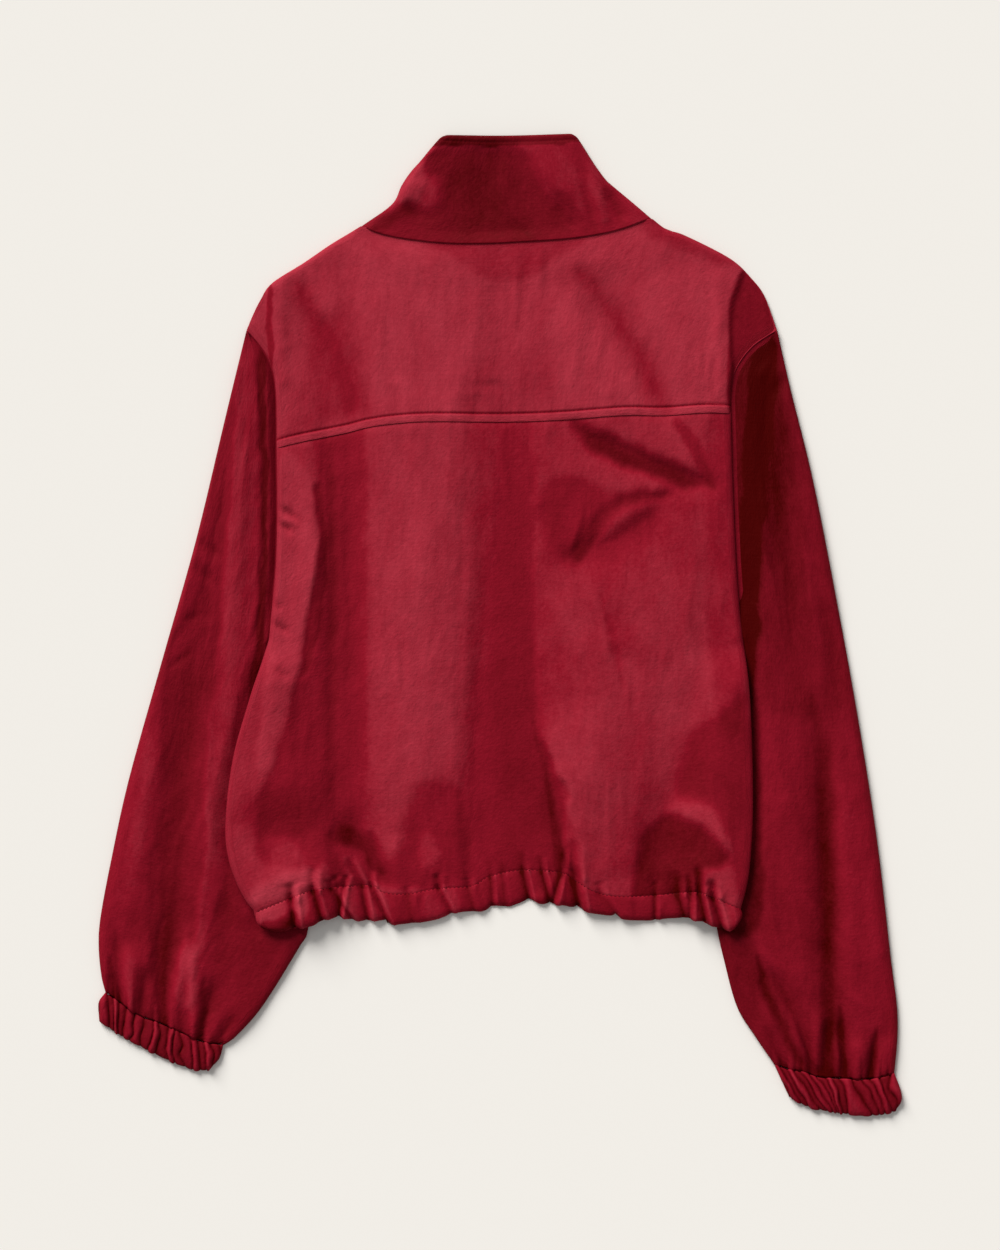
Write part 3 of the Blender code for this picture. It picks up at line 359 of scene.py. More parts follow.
# painted light and shade of the right sleeve's folds, with painted shade beside the body
SLEEVE_RIGHT_FACETS = table(
    Facet,
    (12, 0.0, -0.14, ((184, 220), (216, 232), (268, 10), (262, -60), (196, -60), (184, 60))),
    (6, -0.6, -0.36, ((176, 172), (186, 204), (198, 220), (214, 228), (211, 160), (205, 60), (200, -20),
     (196, -64), (180, -20), (176, 60))),
    (5, -0.8, -0.6, ((201, 214), (212, 223), (211, 180), (206, 120), (203, 60), (199, -20), (196, -60),
     (190, -10), (189, 60), (192, 120), (196, 170))),
    (4.5, -0.8, -0.24, ((242, -56), (247, -110), (250, -250), (251, -352), (261, -352), (262, -200),
     (261, -120), (252, -80))),
    (5, 0.6, 0.08, ((262, -90), (263, -330), (290, -332), (300, -300), (292, -200), (276, -80))),
    (6, 0.4, 0.06, ((222, 206), (230, 180), (246, 112), (264, 20), (250, 20), (236, 100), (220, 170))),
    (5, -0.4, -0.16, ((210, 215), (221, 190), (226, 110), (214, 40), (204, 90))),
    (3.5, -1.6, -0.50, ((201, -262), (205, -266), (214, -290), (227, -318), (240, -349), (232, -347),
     (216, -312), (206, -288))),
    (7, 0.6, 0.14, ((201, -244), (232, -256), (247, -326), (242, -340), (224, -300), (211, -272))),
    (5, -0.4, -0.22, ((164, -236), (196, -244), (203, -292), (196, -316), (180, -300))),
    (3, -0.6, -0.40, ((194, -58), (200, -62), (204, -150), (204, -236), (166, -236), (180, -225),
     (196, -180))),
    (2, -1.0, -0.35, ((264, -304), (268, -304), (272, -352), (267, -352))),
    (2, -1.0, -0.35, ((292, -318), (296, -318), (292, -352), (286, -352))),
)
# painted light and shade of the collar, with painted shade along its top edge
COLLAR_FACETS = table(
    Facet,
    (5, -1.0, -0.34, ((-53, 369), (16, 369), (29, 350), (41, 328), (50, 336), (60, 322), (66, 300),
     (-96, 300), (-96, 314), (-74, 328), (-60, 322), (-48, 330), (-44, 345), (-57, 352), (-60, 362))),
    (0.8, 0.0, -0.6, ((-60, 390), (80, 390), (66, 376), (-56, 375))),
    (3, 0.6, 0.26, ((-52, 372), (-60, 358), (-56, 350), (-63, 335), (-58, 328), (-68, 333), (-86, 328),
     (-76, 346), (-62, 364))),
    (3, 0.0, -0.25, ((-112, 314), (-90, 322), (-74, 330), (-70, 322), (-96, 306))),
    (4, 0.0, -0.10, ((20, 374), (60, 376), (68, 358), (62, 334), (44, 334))),
)
# painted light and shade only on the hem casing: none of these parts stands out
HEM_PAINTED_PATCHES = table(
    Facet,
    (6, 0.0, 0.7, ((-194, -222), (-178, -210), (-152, -200), (-148, -222), (-166, -232), (-184, -234))),
    (2, 0.0, -0.60, ((-186, -237), (-168, -238), (-158, -228), (-162, -222), (-172, -229), (-184, -230))),
    (4, 0.0, 0.30, ((-128, -204), (-92, -206), (-90, -232), (-126, -230))),
    (4, 0.0, 0.25, ((-60, -206), (-36, -206), (-30, -226), (-58, -232))),
    (4, 0.0, 0.25, ((162, -212), (186, -220), (184, -232), (166, -232))),
)

# Hollows (-) and domes (+): middle, radii, turn in degrees, height
Dome = namedtuple("Dome", "x y radius_x radius_y turn height")
BODY_DOMES = table(
    Dome,
    (140, -178, 26, 26, -20, -2.4),
    (170, -170, 10, 30, -14, 2.4),
    (-166, -164, 20, 18, 0, -3.2),
    (-172, -196, 20, 9, 20, 1.4),
    (-30, -60, 30, 90, 0, -0.8),
    (80, -100, 20, 60, 8, 1.2),
    (100, 10, 60, 40, 0, 1.0),
    (-100, 20, 14, 90, 0, 0.8),
)
# Gathers at the elastic hem: the valley's x over the seam, at the seam and at the edge, how far it reaches
# over the seam, its width and depth
Gather = namedtuple("Gather", "over seam edge reach width depth")
GATHERS = table(
    Gather,
    (-164, -163, -160, 10, 3.4, 2.6),
    (-146, -146, -139, 16, 3.2, 2.4),
    (-129, -127, -125, 8, 2.2, 1.6),
    (-133, -132, -115, 6, 2.4, 1.7),
    (-119, -122, -126, 8, 2.2, 1.8),
    (-120, -108, -103, 18, 2.8, 2.2),
    (-104, -101, -87, 20, 2.6, 2.2),
    (-74, -72, -68, 5, 3.0, 0.7),
    (-50, -48, -38, 10, 2.4, 1.6),
    (-26, -25, -20, 6, 2.8, 0.8),
    (-9, -8, -6, 12, 2.4, 1.4),
    (2, 1, 4, 8, 2.4, 0.9),
    (16, 17, 22, 14, 3.0, 2.2),
    (30, 32, 39, 10, 2.6, 2.0),
    (50, 47, 41, 18, 2.8, 2.4),
    (56, 57, 61, 26, 4.6, 2.6),
    (76, 78, 90, 8, 3.0, 0.8),
    (121, 121, 121, 10, 2.0, 1.3),
    (138, 138, 144, 14, 3.4, 2.2),
    (146, 148, 148, 12, 2.4, 2.0),
    (154, 155, 160, 18, 2.8, 2.6),
    (165, 166, 173, 12, 3.0, 2.4),
)


# ---- plan shapes -------------------------------------------------------------------------------

def smooth(t):
    t = np.clip(t, 0.0, 1.0)
    return t * t * (3.0 - 2.0 * t)


def rounded(points, steps=10):
    """A smooth curve through a table's points, with steps - 1 more between each two."""
    p = np.array(points, float)
    p = np.vstack([2 * p[0] - p[1], p, 2 * p[-1] - p[-2]])
    t = (np.arange(steps) / steps)[:, None]
    spans = [0.5 * (2 * p[k] + (p[k + 1] - p[k - 1]) * t
                    + (2 * p[k - 1] - 5 * p[k] + 4 * p[k + 1] - p[k + 2]) * t ** 2
                    + (3 * p[k] - p[k - 1] - 3 * p[k + 1] + p[k + 2]) * t ** 3) for k in range(1, len(p) - 2)]
    return np.vstack([*spans, p[-2]])


def lengths(line):
    """Length along a line up to each of its points."""
    return np.concatenate([[0], np.cumsum(np.linalg.norm(np.diff(line, axis=0), axis=1))])


class Edge:
    """An edge through a line's points, with shares of its length from 0 to 1 unless others are given."""

    def __init__(self, line, shares=None):
        self.line = np.array(line, float)
        own = lengths(self.line)
        self.shares = own / own[-1] if shares is None else shares

    def __call__(self, t):
        return np.stack([np.interp(t, self.shares, self.line[:, axis]) for axis in (0, 1)])


def patch(left, right, top, bottom):
    """Plan position inside four edges, as a function of across and down, both from 0 to 1."""
    corners = [[edge(share)[:, None] for share in (0.0, 1.0)] for edge in (top, bottom)]

    def at(u, v):
        ruled = (1 - u) * left(v) + u * right(v) + (1 - v) * top(u) + v * bottom(u)
        bilinear = ((1 - v) * ((1 - u) * corners[0][0] + u * corners[0][1])
                    + v * ((1 - u) * corners[1][0] + u * corners[1][1]))
        return ruled - bilinear

    return at


def y_on(points, x):
    line = rounded(points)
    return np.interp(x, line[:, 0], line[:, 1])


def x_on(points, y):
    line = rounded(points)[::-1]
    return np.interp(y, line[:, 1], line[:, 0])


# ---- heights -----------------------------------------------------------------------------------

def fold_height(folds, x, y):
    total = np.zeros_like(x)
    for f in folds:
        dx, dy = f.x1 - f.x0, f.y1 - f.y0
        length = math.hypot(dx, dy)
        t = ((x - f.x0) * dx + (y - f.y0) * dy) / length ** 2
        near = np.clip(t, 0, 1)
        side = ((y - f.y0) * dx - (x - f.x0) * dy) / length - f.bend * 4 * near * (1 - near)
        narrowing = 1.25 - 0.65 * near if f.end > f.start + 0.5 else 1.0
        width = np.where(side > 0, f.east, f.west) * narrowing
        past = (t - near) * length / (f.east + f.west)
        strength = np.minimum(f.start + (1 - f.start) * smooth(near / 0.4),
                              f.end + (1 - f.end) * smooth((1 - near) / 0.4))
        distance = np.abs(side) / width
        soft = np.exp(-0.5 * distance ** 2)
        profile = soft if not f.sharp else (1 - f.sharp) * soft + f.sharp * np.exp(-distance)
        total += f.height * strength * profile * np.exp(-2 * past ** 2)
    return total


def dome_height(domes, x, y):
    total = np.zeros_like(x)
    for d in domes:
        c, s = math.cos(math.radians(d.turn)), math.sin(math.radians(d.turn))
        across, down = (x - d.x) * c + (y - d.y) * s, (y - d.y) * c - (x - d.x) * s
        total += d.height * np.exp(-((across / d.radius_x) ** 2 + (down / d.radius_y) ** 2))
    return total


def facets_at(facets, x, y):
    """The height and the painted light and shade that facets add."""
    height, tone = np.zeros_like(x), np.zeros_like(x)
    x, y = (place + 2.0 * noise(x / 12, y / 18, seed) + 0.9 * noise(x / 4, y / 7, seed + 2)
            for place, seed in ((x, FACET_SEED), (y, FACET_SEED + 1)))
    for f in facets:
        count = len(f.corners)
        corners = rounded((f.corners[-1], *f.corners, *f.corners[:2]), 4)[4:4 * count + 4]
        middle, reach = corners.mean(0), np.abs(corners - corners.mean(0)).max(0) + f.edge
        near = (np.abs(x - middle[0]) < reach[0]) & (np.abs(y - middle[1]) < reach[1])
        px, py = x[near], y[near]
        distance, inside = np.full(px.shape, 1e9), np.zeros(px.shape, bool)
        for (ax, ay), (bx, by) in zip(corners, np.roll(corners, -1, axis=0)):
            dx, dy = bx - ax, by - ay
            t = np.clip(((px - ax) * dx + (py - ay) * dy) / (dx * dx + dy * dy), 0, 1)
            distance = np.minimum(distance, np.hypot(px - ax - t * dx, py - ay - t * dy))
            if dy:
                inside ^= ((ay > py) != (by > py)) & (px < ax + (py - ay) * dx / dy)
        share = smooth(0.5 + np.where(inside, distance, -distance) / (2 * f.edge))
        height[near] += f.height * share
        tone[near] += f.tone * share
    return height, tone


NOISE_CELLS = 64


def noise(x, y, seed):
    """Smooth noise from -1 to 1 with cells of 1."""
    values = np.random.default_rng(seed).uniform(-1, 1, (NOISE_CELLS, NOISE_CELLS))
    column, row = np.floor(x).astype(int), np.floor(y).astype(int)
    fx, fy = smooth(x - column), smooth(y - row)

    def corner(i, j):
        return values[(column + i) % NOISE_CELLS, (row + j) % NOISE_CELLS]

    return ((corner(0, 0) * (1 - fx) + corner(1, 0) * fx) * (1 - fy)
            + (corner(0, 1) * (1 - fx) + corner(1, 1) * fx) * fy)


# Crinkles of the crisp cloth: width, length, height
CRINKLES = ((26, 74, 0.55), (11, 34, 0.32), (5.5, 15, 0.16))


def crinkle(x, y, lean, seed):
    """Fine creases that run down the piece, whose length leans to the right by lean for each mm down."""
    across, down = x + lean * y, y - lean * x
    warp = 7 * noise(across / 30, down / 46, seed + 9)
    total = np.zeros_like(x)
    for k, (width, length, height) in enumerate(CRINKLES):
        n = noise((across + warp) / width, (down + 2 * warp) / length, seed + k)
        total += height * (1 - 2 * np.abs(n))
    return total


def hidden_creases(x, y, seed):
    """Low creases of the layers that lie on the floor, which only rise from it."""
    return np.clip(0.22 + 0.5 * crinkle(x, y, 0.05, seed), 0.0, 0.45)


def gather_lines():
    """The hem's gathers: a valley over the seam and one down the casing, each with a ridge beside it."""
    lines = []
    for g in GATHERS:
        seam_y, edge_y = float(y_on(HEM_SEAM, g.seam)), float(y_on(HEM_EDGE, g.edge))
        beside = 1.9 * g.width
        for shift, part in ((0, -1.0), (beside, 0.5)):
            over, seam, edge = g.over + shift, g.seam + shift, g.edge + shift
            lines.append(Fold(over, seam_y + 1.3 * g.reach, seam, seam_y, 0, 0.8 * g.width, 0.9 * g.width,
                              1.4 * part * g.depth, 0.0, 1.0, 0.8))
            lines.append(Fold(seam, seam_y, edge, edge_y, 0, 0.6 * g.width, 0.9 * g.width,
                              1.5 * part * g.depth, 0.85, 1.0, 0.8))
    return tuple(lines)


def lift(x, y):
    """Height of what the body lies on: it climbs onto the sleeve under each side."""
    below = smooth((UNDERARM_Y - y) / LIFT_START)
    left = smooth((x_on(SLEEVE_LEFT_INNER, y) + 4 + LIFT_RAMP - x) / LIFT_RAMP)
    right = smooth((x - x_on(SLEEVE_RIGHT_INNER, y) + 4 + LIFT_RAMP) / LIFT_RAMP)
    return LIFT * below * np.maximum(left, right)


def underarm_curl(y):
    """0 along the armhole, where the edges are sewn, and 1 below the underarm, where they are folded."""
    return smooth((UNDERARM_Y + UNDERARM_TURN - y) / UNDERARM_TURN)


# ---- a flat tube -------------------------------------------------------------------------------

ROLL = 0.3              # share of a side, of 2, that its folded edge takes in the loop parameter


def rolled(w, share):
    """At w from a folded edge, the shares of the width and of the height that it has come."""
    angle = math.pi / 2 * np.clip(w / ROLL, 0, 1)
    inner = share + (1 - 2 * share) * (w - ROLL) / (2 - 2 * ROLL)
    return np.where(w < ROLL, share * (1 - np.cos(angle)), inner), np.sin(angle)


def loop(a, share):
    """Across, rise, whether on top and on the left, for a from 0 to 2 over the top and to 4 below."""
    a = np.mod(a, 4)
    top = a <= 2
    w = np.where(top, a, 4 - a)
    left = w <= 1
    inset, rise = rolled(np.where(left, w, 2 - w), share)
    return np.where(left, inset, 1 - inset), rise, top, left


def steps_over(flats, roll_steps=8):
    """Values of a from one folded edge to the other, close together where the cloth rolls."""
    roll = ROLL * np.arange(roll_steps) / roll_steps
    return np.concatenate([roll, np.linspace(ROLL, 2 - ROLL, flats + 1), 2 - roll[::-1]])


# ---- making a piece of cloth -------------------------------------------------------------------

def alone(piece):
    bpy.ops.object.select_all(action="DESELECT")
    piece.select_set(True)
    bpy.context.view_layer.objects.active = piece


def cloth(name, surface, across, down, size, offset=-1.0, closed=False):
    """A grid moved onto a surface and given its thickness. size is its width and length, for its grain."""
    bpy.ops.object.select_all(action="DESELECT")
    columns, rows = len(across), len(down)
    bpy.ops.mesh.primitive_grid_add(x_subdivisions=columns - 1, y_subdivisions=rows - 1, size=1)
    piece = bpy.context.object
    piece.name = piece.data.name = name
    mesh = piece.data
    plan = np.empty(len(mesh.vertices) * 3)
    mesh.vertices.foreach_get("co", plan)
    plan = plan.reshape(-1, 3)
    column = np.rint((plan[:, 0] + 0.5) * (columns - 1)).astype(int)
    row = np.rint((0.5 - plan[:, 1]) * (rows - 1)).astype(int)
    a, b = np.asarray(across)[column], np.asarray(down)[row]
    x, y, z, tone = surface(a, b)
    mesh.vertices.foreach_set("co", (np.stack([x, y, z], axis=1) * MM).ravel())
    # painted light and shade at each point, which the cloth's colour follows
    shade = mesh.attributes.new("tone", "FLOAT", "POINT")
    shade.data.foreach_set("value", np.asarray(tone, np.float32))
    corners = np.empty(len(mesh.loops), int)
    mesh.loops.foreach_get("vertex_index", corners)
    grain = np.stack([a * size[0] / 2, -b * size[1]], axis=1) * MM
    mesh.uv_layers.active.data.foreach_set("uv", grain[corners].ravel())
    mesh.update()
    alone(piece)
    if closed:
        bpy.ops.object.mode_set(mode="EDIT")
        bpy.ops.mesh.select_all(action="SELECT")
        bpy.ops.mesh.remove_doubles(threshold=1e-6)
        bpy.ops.object.mode_set(mode="OBJECT")
    wall = piece.modifiers.new("cloth", "SOLIDIFY")
    wall.thickness = CLOTH * MM
    wall.offset = offset
    bpy.ops.object.modifier_apply(modifier=wall.name)
    bpy.ops.object.shade_smooth()
    piece.data.materials.clear()
    piece.data.materials.append(SHELL_CLOTH)
    return piece


def belongs(piece, slot, *nodes):
    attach(piece, "root")
    if nodes:
        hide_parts(*nodes)


# ---- finishes ----------------------------------------------------------------------------------

def new_finish(name):
    """A new material, its node tree and its shader's inputs."""
    material = bpy.data.materials.new(name)
    material.use_nodes = True
    return material, material.node_tree, material.node_tree.nodes["Principled BSDF"].inputs


def math_node(tree, operation, *values):
    node = tree.nodes.new("ShaderNodeMath")
    node.operation = operation
    for socket, value in zip(node.inputs, values):
        if isinstance(value, (int, float)):
            socket.default_value = value
        else:
            tree.links.new(value, socket)
    return node.outputs[0]


def noise_node(tree, place, stretch, detail, roughness):
    mapping = tree.nodes.new("ShaderNodeMapping")
    mapping.inputs["Scale"].default_value = stretch
    tree.links.new(place, mapping.inputs["Vector"])
    texture = tree.nodes.new("ShaderNodeTexNoise")
    texture.inputs["Scale"].default_value = 1.0
    texture.inputs["Detail"].default_value = detail
    texture.inputs["Roughness"].default_value = roughness
    tree.links.new(mapping.outputs[0], texture.inputs["Vector"])
    return texture.outputs["Fac"]


def bump_node(tree, height, distance, strength, normal=None):
    bump = tree.nodes.new("ShaderNodeBump")
    bump.inputs["Distance"].default_value = distance
    bump.inputs["Strength"].default_value = strength
    tree.links.new(height, bump.inputs["Height"])
    if normal is not None:
        tree.links.new(normal, bump.inputs["Normal"])
    return bump.outputs["Normal"]


def colour_from(tree, level, inputs, deep, lit):
    """Base colour from deep to lit by level. Returns the ramp's elements."""
    ramp = tree.nodes.new("ShaderNodeValToRGB")
    elements = ramp.color_ramp.elements
    elements[0].color, elements[1].color = (*deep, 1), (*lit, 1)
    tree.links.new(level, ramp.inputs["Fac"])
    tree.links.new(ramp.outputs["Color"], inputs["Base Color"])
    return elements


def weave_height(tree, place, threads):
    """Plain weave: warp and weft threads, so many to the metre, that pass over each other in turn."""
    heights = []
    for direction in ("X", "Y"):
        wave = tree.nodes.new("ShaderNodeTexWave")
        wave.bands_direction = direction
        wave.inputs["Scale"].default_value = threads / 20.0
        wave.inputs["Distortion"].default_value = 0.4
        wave.inputs["Detail"].default_value = 0.0
        tree.links.new(place, wave.inputs["Vector"])
        heights.append(wave.outputs["Fac"])
    return math_node(tree, "MAXIMUM", *heights)


def shell_cloth():
    """Thin crisp woven cloth, deep to lit by the light and shade painted on each place, with a fine crumple.
    """
    material, tree, inputs = new_finish("shell_cloth")
    place = tree.nodes.new("ShaderNodeUVMap").outputs["UV"]
    tone = tree.nodes.new("ShaderNodeAttribute")
    tone.attribute_name = "tone"
    mottle = noise_node(tree, place, (70, 34, 1), 7.0, 0.68)
    thread = noise_node(tree, place, (520, 300, 1), 3.0, 0.6)
    # the painted light and shade sets the colour's level, and random mottle and thread are added to it
    level = math_node(tree, "MULTIPLY_ADD", tone.outputs["Fac"], 0.45, 0.265)
    for grain, share in ((mottle, 0.32), (thread, 0.19)):
        level = math_node(tree, "ADD", level, math_node(tree, "MULTIPLY", grain, share))
    elements = colour_from(tree, level, inputs, (0.062, 0.0, 0.0), (0.530, 0.052, 0.080))
    elements.new(0.42).color = (0.245, 0.0055, 0.0170, 1)
    tree.links.new(math_node(tree, "MULTIPLY_ADD", mottle, 0.16, 0.54), inputs["Roughness"])
    inputs["IOR"].default_value = 1.2
    inputs["Specular IOR Level"].default_value = 0.15

    creases = noise_node(tree, place, (92, 52, 1), 8.0, 0.7)
    pinched = math_node(tree, "ABSOLUTE", math_node(tree, "SUBTRACT", creases, 0.5))
    normal = bump_node(tree, pinched, 0.0022, 0.6)
    normal = bump_node(tree, noise_node(tree, place, (280, 170, 1), 4.0, 0.6), 0.0006, 0.5, normal)
    normal = bump_node(tree, noise_node(tree, place, (700, 520, 1), 3.0, 0.6), 0.0003, 0.2, normal)
    normal = bump_node(tree, weave_height(tree, place, 2200.0), 0.00008, 0.5, normal)
    tree.links.new(normal, inputs["Normal"])
    return material


def thread_finish():
    material, tree, inputs = new_finish("sewing_thread")
    place = tree.nodes.new("ShaderNodeTexCoord").outputs["Object"]
    twist = noise_node(tree, place, (3000, 3000, 3000), 1.0, 0.5)
    # painted shade: the thread's red is its own, but it is made far darker than the cloth, for the shade
    # along the stitches
    colour_from(tree, twist, inputs, (0.030, 0.000, 0.002), (0.075, 0.002, 0.006))
    inputs["Roughness"].default_value = 0.8
    inputs["Specular IOR Level"].default_value = 0.05
    tree.links.new(bump_node(tree, twist, 0.0001, 0.5), inputs["Normal"])
    return material


def zip_finish(name, deep, lit, woven):
    """Woven tape, or the painted metal of the slider."""
    material, tree, inputs = new_finish(name)
    place = tree.nodes.new("ShaderNodeTexCoord").outputs["Object"]
    grain = noise_node(tree, place, (900, 900, 900) if woven else (240, 240, 240), 3.0, 0.6)
    colour_from(tree, grain, inputs, deep, lit)
    tree.links.new(math_node(tree, "MULTIPLY_ADD", grain, 0.2, 0.6 if woven else 0.28), inputs["Roughness"])
    normal = bump_node(tree, grain, 0.0001, 0.5)
    if woven:
        normal = bump_node(tree, weave_height(tree, place, 1400.0), 0.00015, 0.8, normal)
    tree.links.new(normal, inputs["Normal"])
    return material


def pale_floor():
    material, _, inputs = new_finish("pale_floor")
    inputs["Base Color"].default_value = (0.905, 0.880, 0.838, 1)
    inputs["Roughness"].default_value = 1.0
    inputs["Specular IOR Level"].default_value = 0.0
    return material


SHELL_CLOTH = shell_cloth()
THREAD = thread_finish()
ZIP_TAPE = zip_finish("zip_tape", (0.050, 0.001, 0.004), (0.150, 0.006, 0.016), woven=True)
ZIP_METAL = zip_finish("zip_metal", (0.070, 0.006, 0.010), (0.110, 0.012, 0.018), woven=False)
for node, finish in (("zip_tape_left", ZIP_TAPE), ("zip_tape_right", ZIP_TAPE), ("zip_slider", ZIP_METAL)):
    for material_slot in bpy.data.objects[node].material_slots:
        material_slot.material = finish


# ---- body --------------------------------------------------------------------------------------

# painted light: the yoke's whole colour is made lighter than the back's
YOKE_PAINTED_LIGHT = 0.22
BODY_SHARE = FOLD_RADIUS / 380


def side_line(armhole, side, start=0):
    """From the armhole's row down to the hem."""
    return np.vstack([rounded(armhole)[10 * start:-1], rounded(side)])


def side_level(x, y):
    """Height of the body's side edge: in the armhole's valley, and then the middle of a fold."""
    return ARMHOLE_LEVEL + (lift(x, y) + FOLD_MIDDLE - ARMHOLE_LEVEL) * underarm_curl(y)


HEM_FOLDS = gather_lines()


def back_relief(x, y):
    """The folds of the whole back, which run on across the yoke's and the hem's seams."""
    relief = (fold_height(BODY_FOLDS + YOKE_FOLDS + HEM_FOLDS, x, y) + dome_height(BODY_DOMES, x, y)
              + facets_at(BODY_FACETS + YOKE_FACETS, x, y)[0] + crinkle(x, y, 0.03, BACK_SEED))
    return np.maximum(relief, DEEPEST)


def back_height(x, y):
    """The back panel's outer side over the floor."""
    from_yoke = np.maximum(y_on(YOKE_SEAM, x) - y, 0)
    from_hem = y - y_on(HEM_SEAM, x)
    puff = 0.5 * np.exp(-((from_hem - 15) / 13) ** 2)
    dips = (1.0 * np.exp(-from_yoke / SEAM_REACH) + 0.35 * np.exp(-np.abs(from_hem) / SEAM_REACH)
            + 1.1 * smooth(-from_hem / SEAM_REACH))
    return lift(x, y) + np.maximum(LAYER + back_relief(x, y) + puff - dips, LEAST_LAYER)


def back_panel():
    """The back, from under the yoke's band to under the hem casing."""
    left, right = side_line(ARMHOLE_LEFT, SIDE_LEFT, YOKE_END), side_line(ARMHOLE_RIGHT, SIDE_RIGHT, YOKE_END)
    top, bottom = rounded(YOKE_SEAM), rounded(HEM_SEAM)
    for upper_edge in (top, left[:1], right[:1]):
        upper_edge[:, 1] += TUCK
    for lower_edge in (bottom, left[-1:], right[-1:]):
        lower_edge[:, 1] -= 2 * TUCK
    place = patch(Edge(left), Edge(right), Edge(top), Edge(bottom))

    def surface(a, b):
        u, rise, _, left = loop(a, BODY_SHARE)
        x, y = place(u, b)
        level = side_level(x, y)
        # the last value is painted light and shade: the facets', and painted shade in fold troughs and light
        # on ridges
        return (x, y, level + (back_height(x, y) - level) * rise,
                facets_at(BODY_FACETS, x, y)[1] + 0.06 * fold_height(BODY_FOLDS, x, y)
                + 0.14 * fold_height(HEM_FOLDS, x, y))

    rows = np.concatenate([np.linspace(0, 0.9, 150)[:-1], np.linspace(0.9, 1, 38)])
    piece = cloth("back_panel_cloth", surface, steps_over(236), rows, (375, 360))
    belongs(piece, "shell_cloth", "back_panel")


def yoke_height(x, y):
    """The yoke's outer side over the floor, with its topstitched band and its turned-down sides."""
    up = y - y_on(YOKE_SEAM, x)
    down_from_neck = y_on(NECK_BACK, x) - y
    below_neck = 0.8 * smooth(1 - np.abs(down_from_neck - 20) / 20)
    band = 0.3 * smooth((YOKE_BAND + 1.5 - up) / 3) - 0.3 * np.exp(-up / 0.9)
    stitch = 0.8 * np.exp(-((up - YOKE_BAND) / 1.0) ** 2)
    relief = back_relief(x, y) * smooth(down_from_neck / 12)
    turned = np.maximum(smooth((x_on(TURN_LEFT, y) - x) / 4), smooth((x - x_on(TURN_RIGHT, y)) / 4))
    return np.maximum(LAYER + relief + below_neck + band - stitch - 3.0 * turned, LEAST_LAYER)


def back_yoke():
    """From the folded shoulders and the neck seam down to the band."""
    neck = rounded(NECK_BACK)
    neck[:, 1] += TUCK * smooth(np.minimum(np.arange(len(neck)), np.arange(len(neck))[::-1]) / 8)
    top = np.vstack([rounded(SHOULDER_LEFT)[:-1], neck[:-1], rounded(SHOULDER_RIGHT)])
    place = patch(*(Edge(rounded(armhole)[:10 * YOKE_END + 1]) for armhole in (ARMHOLE_LEFT, ARMHOLE_RIGHT)),
                  Edge(top), Edge(rounded(YOKE_SEAM)))
    share = FOLD_RADIUS / 150
    own = lengths(top) / lengths(top)[-1]
    first, last = (own[np.argmin(np.abs(top[:, 0] - neck_x))] for neck_x in (NECK_LEFT_X, NECK_RIGHT_X))

    def surface(a, b):
        u, rise, _, left = loop(a, BODY_SHARE)
        folded = np.maximum(smooth((first - u) / 0.03), smooth((u - last) / 0.03))
        v_fold, rise_fold = rolled(2 * b, share)
        v_fold = np.where(b > 0.5, 1 - rolled(2 - 2 * b, share)[0], v_fold)
        rise_fold = np.where(b > 0.5, 1.0, rise_fold)
        v_open = np.where(2 * b < ROLL, share * 2 * b / ROLL, v_fold)
        v = v_open + (v_fold - v_open) * folded * (2 * b < ROLL)
        x, y = place(u, v)
        rise = np.minimum(rise, 1 + (rise_fold - 1) * folded)
        past_band = y - y_on(YOKE_SEAM, x) - YOKE_BAND
        # the last value is painted light and shade: the facets', painted light on the band, painted shade
        # along its topstitch
        return x, y, FOLD_MIDDLE + (yoke_height(x, y) - FOLD_MIDDLE) * rise, (
            YOKE_PAINTED_LIGHT + facets_at(YOKE_FACETS, x, y)[1] + 0.10 * smooth(-past_band / 1.5)
            - 0.7 * np.exp(-(past_band / 0.8) ** 2))

    rows = np.concatenate([np.linspace(0.0, ROLL / 2, 9)[:-1], np.linspace(ROLL / 2, 0.83, 66)[:-1],
                           np.linspace(0.83, 1 - ROLL / 2, 9)[:-1], np.linspace(1 - ROLL / 2, 0.998, 18)])
    piece = cloth("back_yoke_cloth", surface, steps_over(196), rows, (400, 150))
    belongs(piece, "shell_cloth", "back_yoke")


